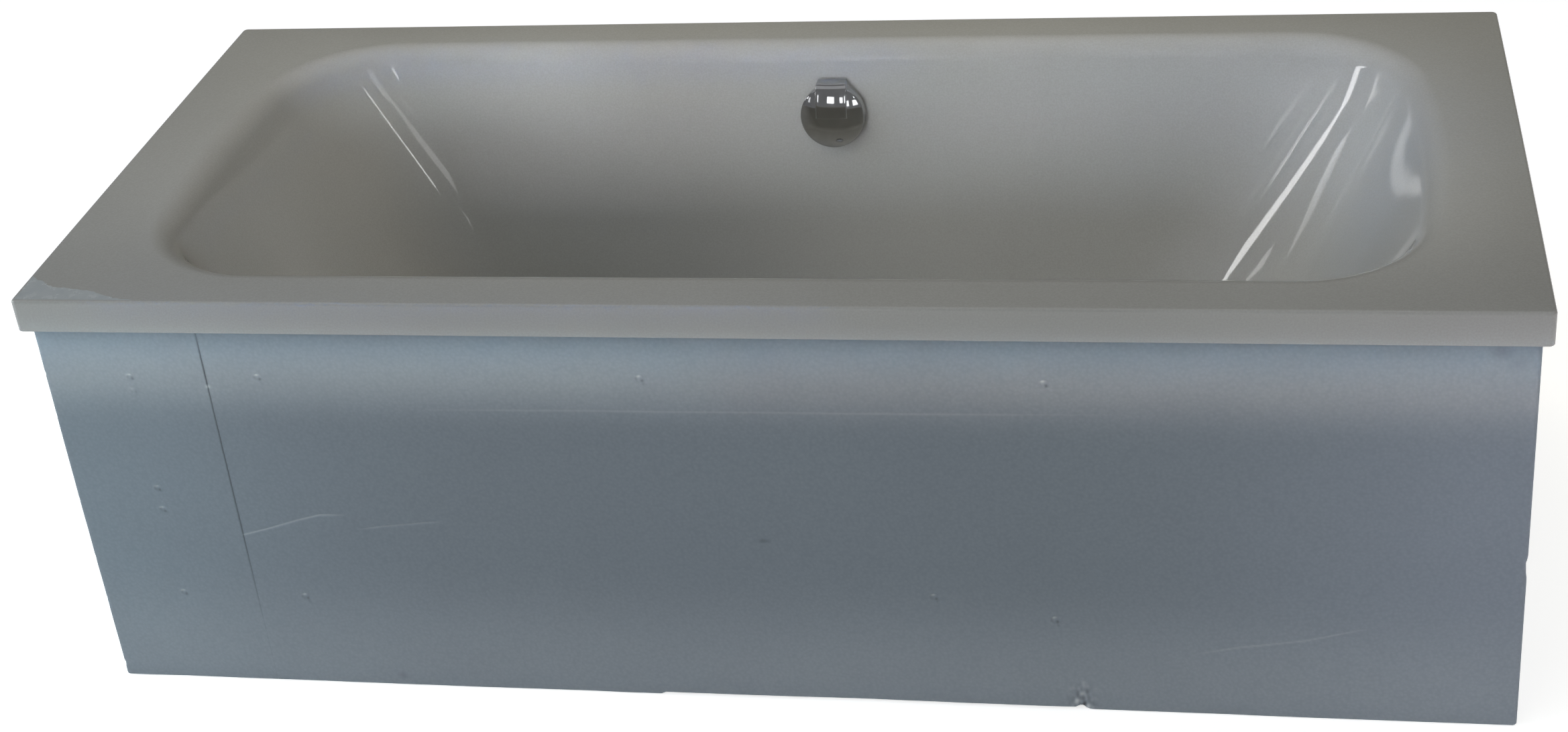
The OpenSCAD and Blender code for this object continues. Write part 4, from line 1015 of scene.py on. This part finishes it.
# Soft fills, which no reflection shows: place, aim, size, brightness in red, green and blue, and beam in
# degrees. The wide ones light the room, and the narrow ones a wall, an edge or a corner each.
FILLS = [((-3.83, -2.914, 1.896), (0, 0.3, 1.896), (1.051, 1.228), (0.72, 1, 1.5), 180),
    ((-3.2, -1.6, 3.1), (0, 0, 0.5), (2.4, 1.8), (1.84, 2.07, 2.45), 180),
    ((-1.5, -3.2, 2.9), (0, 0, 0.5), (2, 1.6), (1.04, 1.2, 1.18), 180),
    ((1.5, -3.2, 2.9), (0, 0, 0.5), (2, 1.6), (0.64, 0.53, 0.31), 180),
    ((0, 0.9, 2), (0, 0.37, 0.58), (2.2, 0.5), (0.53, 0.46, 0.28), 70),
    ((-0.75, -1.3, 1), (-0.75, 0.36, 0.5), (0.45, 0.1), (0.18, 0.16, 0.13), 14),
    ((-0.3, -1.3, 1), (-0.3, 0.36, 0.5), (0.45, 0.1), (0.91, 0.93, 0.96), 14),
    ((0.15, -1.3, 1), (0.15, 0.36, 0.5), (0.45, 0.1), (0.81, 0.88, 0.97), 14),
    ((0.6, -1.3, 1), (0.6, 0.36, 0.5), (0.45, 0.1), (0.75, 0.83, 0.97), 14),
    ((-0.1, -1.3, 0.74), (-0.1, 0.36, 0.56), (1.7, 0.06), (0.22, 0.22, 0.22), 9),
    ((-0.6, -1.3, 0.8), (-0.6, 0.36, 0.55), (0.5, 0.06), (0.39, 0.46, 0.5), 9),
    ((-0.55, -1.2, 0.47), (-0.55, -0.39, 0.478), (1, 0.05), (0.73, 0.68, 0.6), 10),
    ((0.45, -1.2, 0.47), (0.45, -0.39, 0.478), (1, 0.05), (0.65, 0.53, 0.44), 10),
    ((0, -1.5, 0.06), (0, -0.39, 0.04), (1.9, 0.06), (0.51, 0.46, 0.41), 16),
    ((-1.6, -1.4, 0.35), (-0.85, -0.39, 0.3), (0.1, 0.6), (0.75, 0.98, 1.01), 30),
    ((1.6, -1.4, 0.35), (0.85, -0.39, 0.3), (0.1, 0.6), (0.88, 0.82, 0.95), 30),
    ((0, 4.6, 0.27), (0, 0, 0.27), (3.4, 0.5), (9, 9, 9), 180),
    ((-5, 0.6, 0.27), (0, 0.3, 0.27), (2.4, 0.5), (8, 8, 8), 180),
    ((5, 0.6, 0.27), (0, 0.3, 0.27), (2.4, 0.5), (8, 8, 8), 180),
    ((0.2, -1.2, 1.9), (0.4, 0.25, 0.28), (1, 0.1), (0.67, 0.65, 0.6), 16),
    ((0, -1, 0.36), (0, -0.388, 0.515), (2, 0.04), (0.14, 0.23, 0.3), 8),
    ((-0.35, -1.3, 0.66), (-0.35, 0.342, 0.55), (0.9, 0.05), (0, 0.03, 0.16), 5),
    ((-0.7, -0.35, 1.5), (0.75, 0.08, 0.5), (0.3, 0.2), (0, 0.05, 0.16), 12),
    ((0.3, 0.5, 1.9), (-0.68, -0.02, 0.44), (0.3, 0.4), (0.2, 0.2, 0.2), 18),
    ((-0.9, -0.2, 1.2), (0.8, 0.2, 0.48), (0.2, 0.2), (0.2, 0.2, 0.2), 10)]


def lights():
    x, y, z = WINDOW_EYE
    for i, (turn, low, high, wide, level) in enumerate(WINDOWS):
        a = math.radians(turn)
        foot, head = (WINDOW_GAP * math.tan(math.radians(e)) for e in (low, high))
        at = (x + WINDOW_GAP * math.sin(a), y - WINDOW_GAP * math.cos(a), z + (foot + head) / 2)
        size = (2 * WINDOW_GAP * math.tan(math.radians(wide / 2)), head - foot)
        area_light(f"window_{i + 1}", at, (x, y, at[2]), size, (level, level, level))
    for streak in STREAKS:
        bar_light(*streak)
    for i, (at, target, size, colour, beam) in enumerate(FILLS):
        area_light(f"fill_{i + 1}", at, target, size, colour, beam, gloss=False)


# The photograph's camera, fitted to the rim's and the carrier's edges: place in metres, then yaw, pitch
# and roll in degrees
CAMERA_AT, CAMERA_TURN = (0.57937, -2.74851, 1.97318), (-12.048, 28.871, -5.681)
CAMERA_LENS, CAMERA_SHIFT = 56.234, (-0.010217, -0.07129)


def camera():
    yaw, pitch, roll = (math.radians(a) for a in CAMERA_TURN)
    ahead = Vector((math.sin(yaw) * math.cos(pitch), math.cos(yaw) * math.cos(pitch), -math.sin(pitch)))
    right = ahead.cross(Vector((0, 0, 1))).normalized()
    up = right.cross(ahead)
    tilted_right = right * math.cos(roll) + up * math.sin(roll)
    tilted_up = up * math.cos(roll) - right * math.sin(roll)
    data = bpy.data.cameras.new("camera")
    data.lens = CAMERA_LENS
    data.sensor_width = 36.0
    data.sensor_fit = "HORIZONTAL"
    data.shift_x, data.shift_y = CAMERA_SHIFT
    data.clip_end = 100
    cam = bpy.data.objects.new("camera", data)
    turn = Matrix((tilted_right, tilted_up, -ahead)).transposed()
    cam.matrix_world = Matrix.Translation(CAMERA_AT) @ turn.to_4x4()
    bpy.context.scene.collection.objects.link(cam)
    bpy.context.scene.camera = cam


FLOOR_HALF, FLOOR_AT = 14.0, -0.0006


def sheet(name, corners, material):
    """One flat four-sided piece of the studio."""
    mesh = bpy.data.meshes.new(name)
    mesh.from_pydata(corners, [], [(0, 1, 2, 3)])
    mesh.materials.append(material)
    made = bpy.data.objects.new(name, mesh)
    bpy.context.scene.collection.objects.link(made)
    return made


def floor():
    a = FLOOR_HALF
    corners = [(x, y, FLOOR_AT) for x, y in ((-a, -a), (a, -a), (a, a), (-a, a))]
    sheet("studio_floor", corners, floor_material())


def card(name, corners, glow):
    """A dark matt studio flag, which the camera doesn't see; glow gives it an even dim light."""
    mat, nodes, links, bsdf = shader(name, Roughness=1.0, Emission_Color=(1, 1, 1, 1), Emission_Strength=glow)
    cloth = noise(nodes, links, place_coords(nodes, links), 2.0)
    base = ramp(nodes, links, cloth, [(0.3, (0.05, 0.05, 0.048)), (0.7, (0.06, 0.06, 0.058))])
    links.new(base, bsdf.inputs["Base Color"])
    sheet(name, corners, mat).visible_camera = False


# The flags' room in metres: left, right, half its depth and its height; and how bright each flag is
CARD_LEFT, CARD_RIGHT, CARD_Y, CARD_TOP = -9.0, 7.5, 5.8, 6.4
FRONT_GLOW, BACK_GLOW, TOP_GLOW, END_GLOW = 0.15, 0.05, 0.38, 0.12


def cards():
    """Flags all round and above, which keep the reflections in the chrome and the acrylic grey."""
    x0, x1, y, top = CARD_LEFT, CARD_RIGHT, CARD_Y, CARD_TOP
    card("front_card", [(x0, -y, 0), (x1, -y, 0), (x1, -y, top), (x0, -y, top)], FRONT_GLOW)
    card("back_card", [(x0, y, 0), (x1, y, 0), (x1, y, top), (x0, y, top)], BACK_GLOW)
    card("top_card", [(x0, -y, top), (x1, -y, top), (x1, y, top), (x0, y, top)], TOP_GLOW)
    card("left_card", [(x0, -y, 0), (x0, y, 0), (x0, y, top), (x0, -y, top)], END_GLOW)
    card("right_card", [(x1, -y, 0), (x1, y, 0), (x1, y, top), (x1, -y, top)], END_GLOW)


# The film's torn edge between the rim's front and left edges, and how far it lies in the rim and over it
FILM_EDGE = [(-768, -390), (-786, -382), (-806, -374), (-832, -368), (-852, -366), (-866, -360), (-876, -352),
    (-888, -346)]
FILM_IN, FILM_OVER, FILM_TEAR = 0.1, 0.05, 0.9


def film_piece():
    """The thin torn film left on the rim's front left corner; its long straight edges aren't torn."""
    left, front = 5 - TUB_L / 2, 5 - TUB_W / 2
    outline = [(left, front), (-742, front)] + FILM_EDGE + [(left, -338)]
    rng = np.random.default_rng(7)
    fine = []
    for (x0, y0), (x1, y1) in zip(outline, outline[1:] + outline[:1]):
        for t in np.linspace(0, 1, 7)[:-1]:
            torn = 0.0 if max(abs(x0 - x1), abs(y0 - y1)) > 60 else rng.uniform(-FILM_TEAR, FILM_TEAR)
            fine.append((x0 + (x1 - x0) * t + torn, y0 + (y1 - y0) * t + torn))
    low, high = TUB_H - FILM_IN, TUB_H + FILM_OVER
    n = len(fine)
    verts = [(x, y, low) for x, y in fine] + [(x, y, high) for x, y in fine]
    faces = [tuple(range(n, 2 * n)), tuple(range(n))]
    faces += [(i, (i + 1) % n, n + (i + 1) % n, n + i) for i in range(n)]
    return mesh_piece("rim_film", verts, faces)


def dress_nodes(looks):
    """Gives every CAD node that is still shown the material of its slot."""
    for part in frame["record"]["subparts"]:
        node = frame["nodes"][part["node"]]
        node.data.materials.clear()
        node.data.materials.append(looks[part["material_slot"]])


def main():
    camera()
    world()
    lights()
    floor()
    cards()
    bpy.context.scene.view_settings.view_transform = "Standard"
    looks = {"acrylic": acrylic_material(), "foam": foam_material(), "chrome": chrome_material(),
        "steel": steel_material(), "plastic": plastic_material(), "rubber": rubber_material(),
        "chipboard": chipboard_material()}
    dress_nodes(looks)
    dress(tub_piece(), looks["acrylic"], "acrylic", "tub", "tub_shell")
    dress(foam_front(), looks["foam"], "foam", "tub", "carrier_front_panel")
    dress(foam_back(), looks["foam"], "foam", "tub", "carrier_back_panel")
    dress(foam_left(), looks["foam"], "foam", "tub", "carrier_left_end")
    dress(foam_right(), looks["foam"], "foam", "tub", "carrier_right_end")
    dress(combine(knob_disc(), knob_lug(), "UNION"), looks["chrome"], "chrome", "knob", "overflow_knob")
    dress(plug_piece(), looks["chrome"], "chrome", "plug", "plug_dome")
    dress(film_piece(), film_material(), "acrylic", "tub")


main()
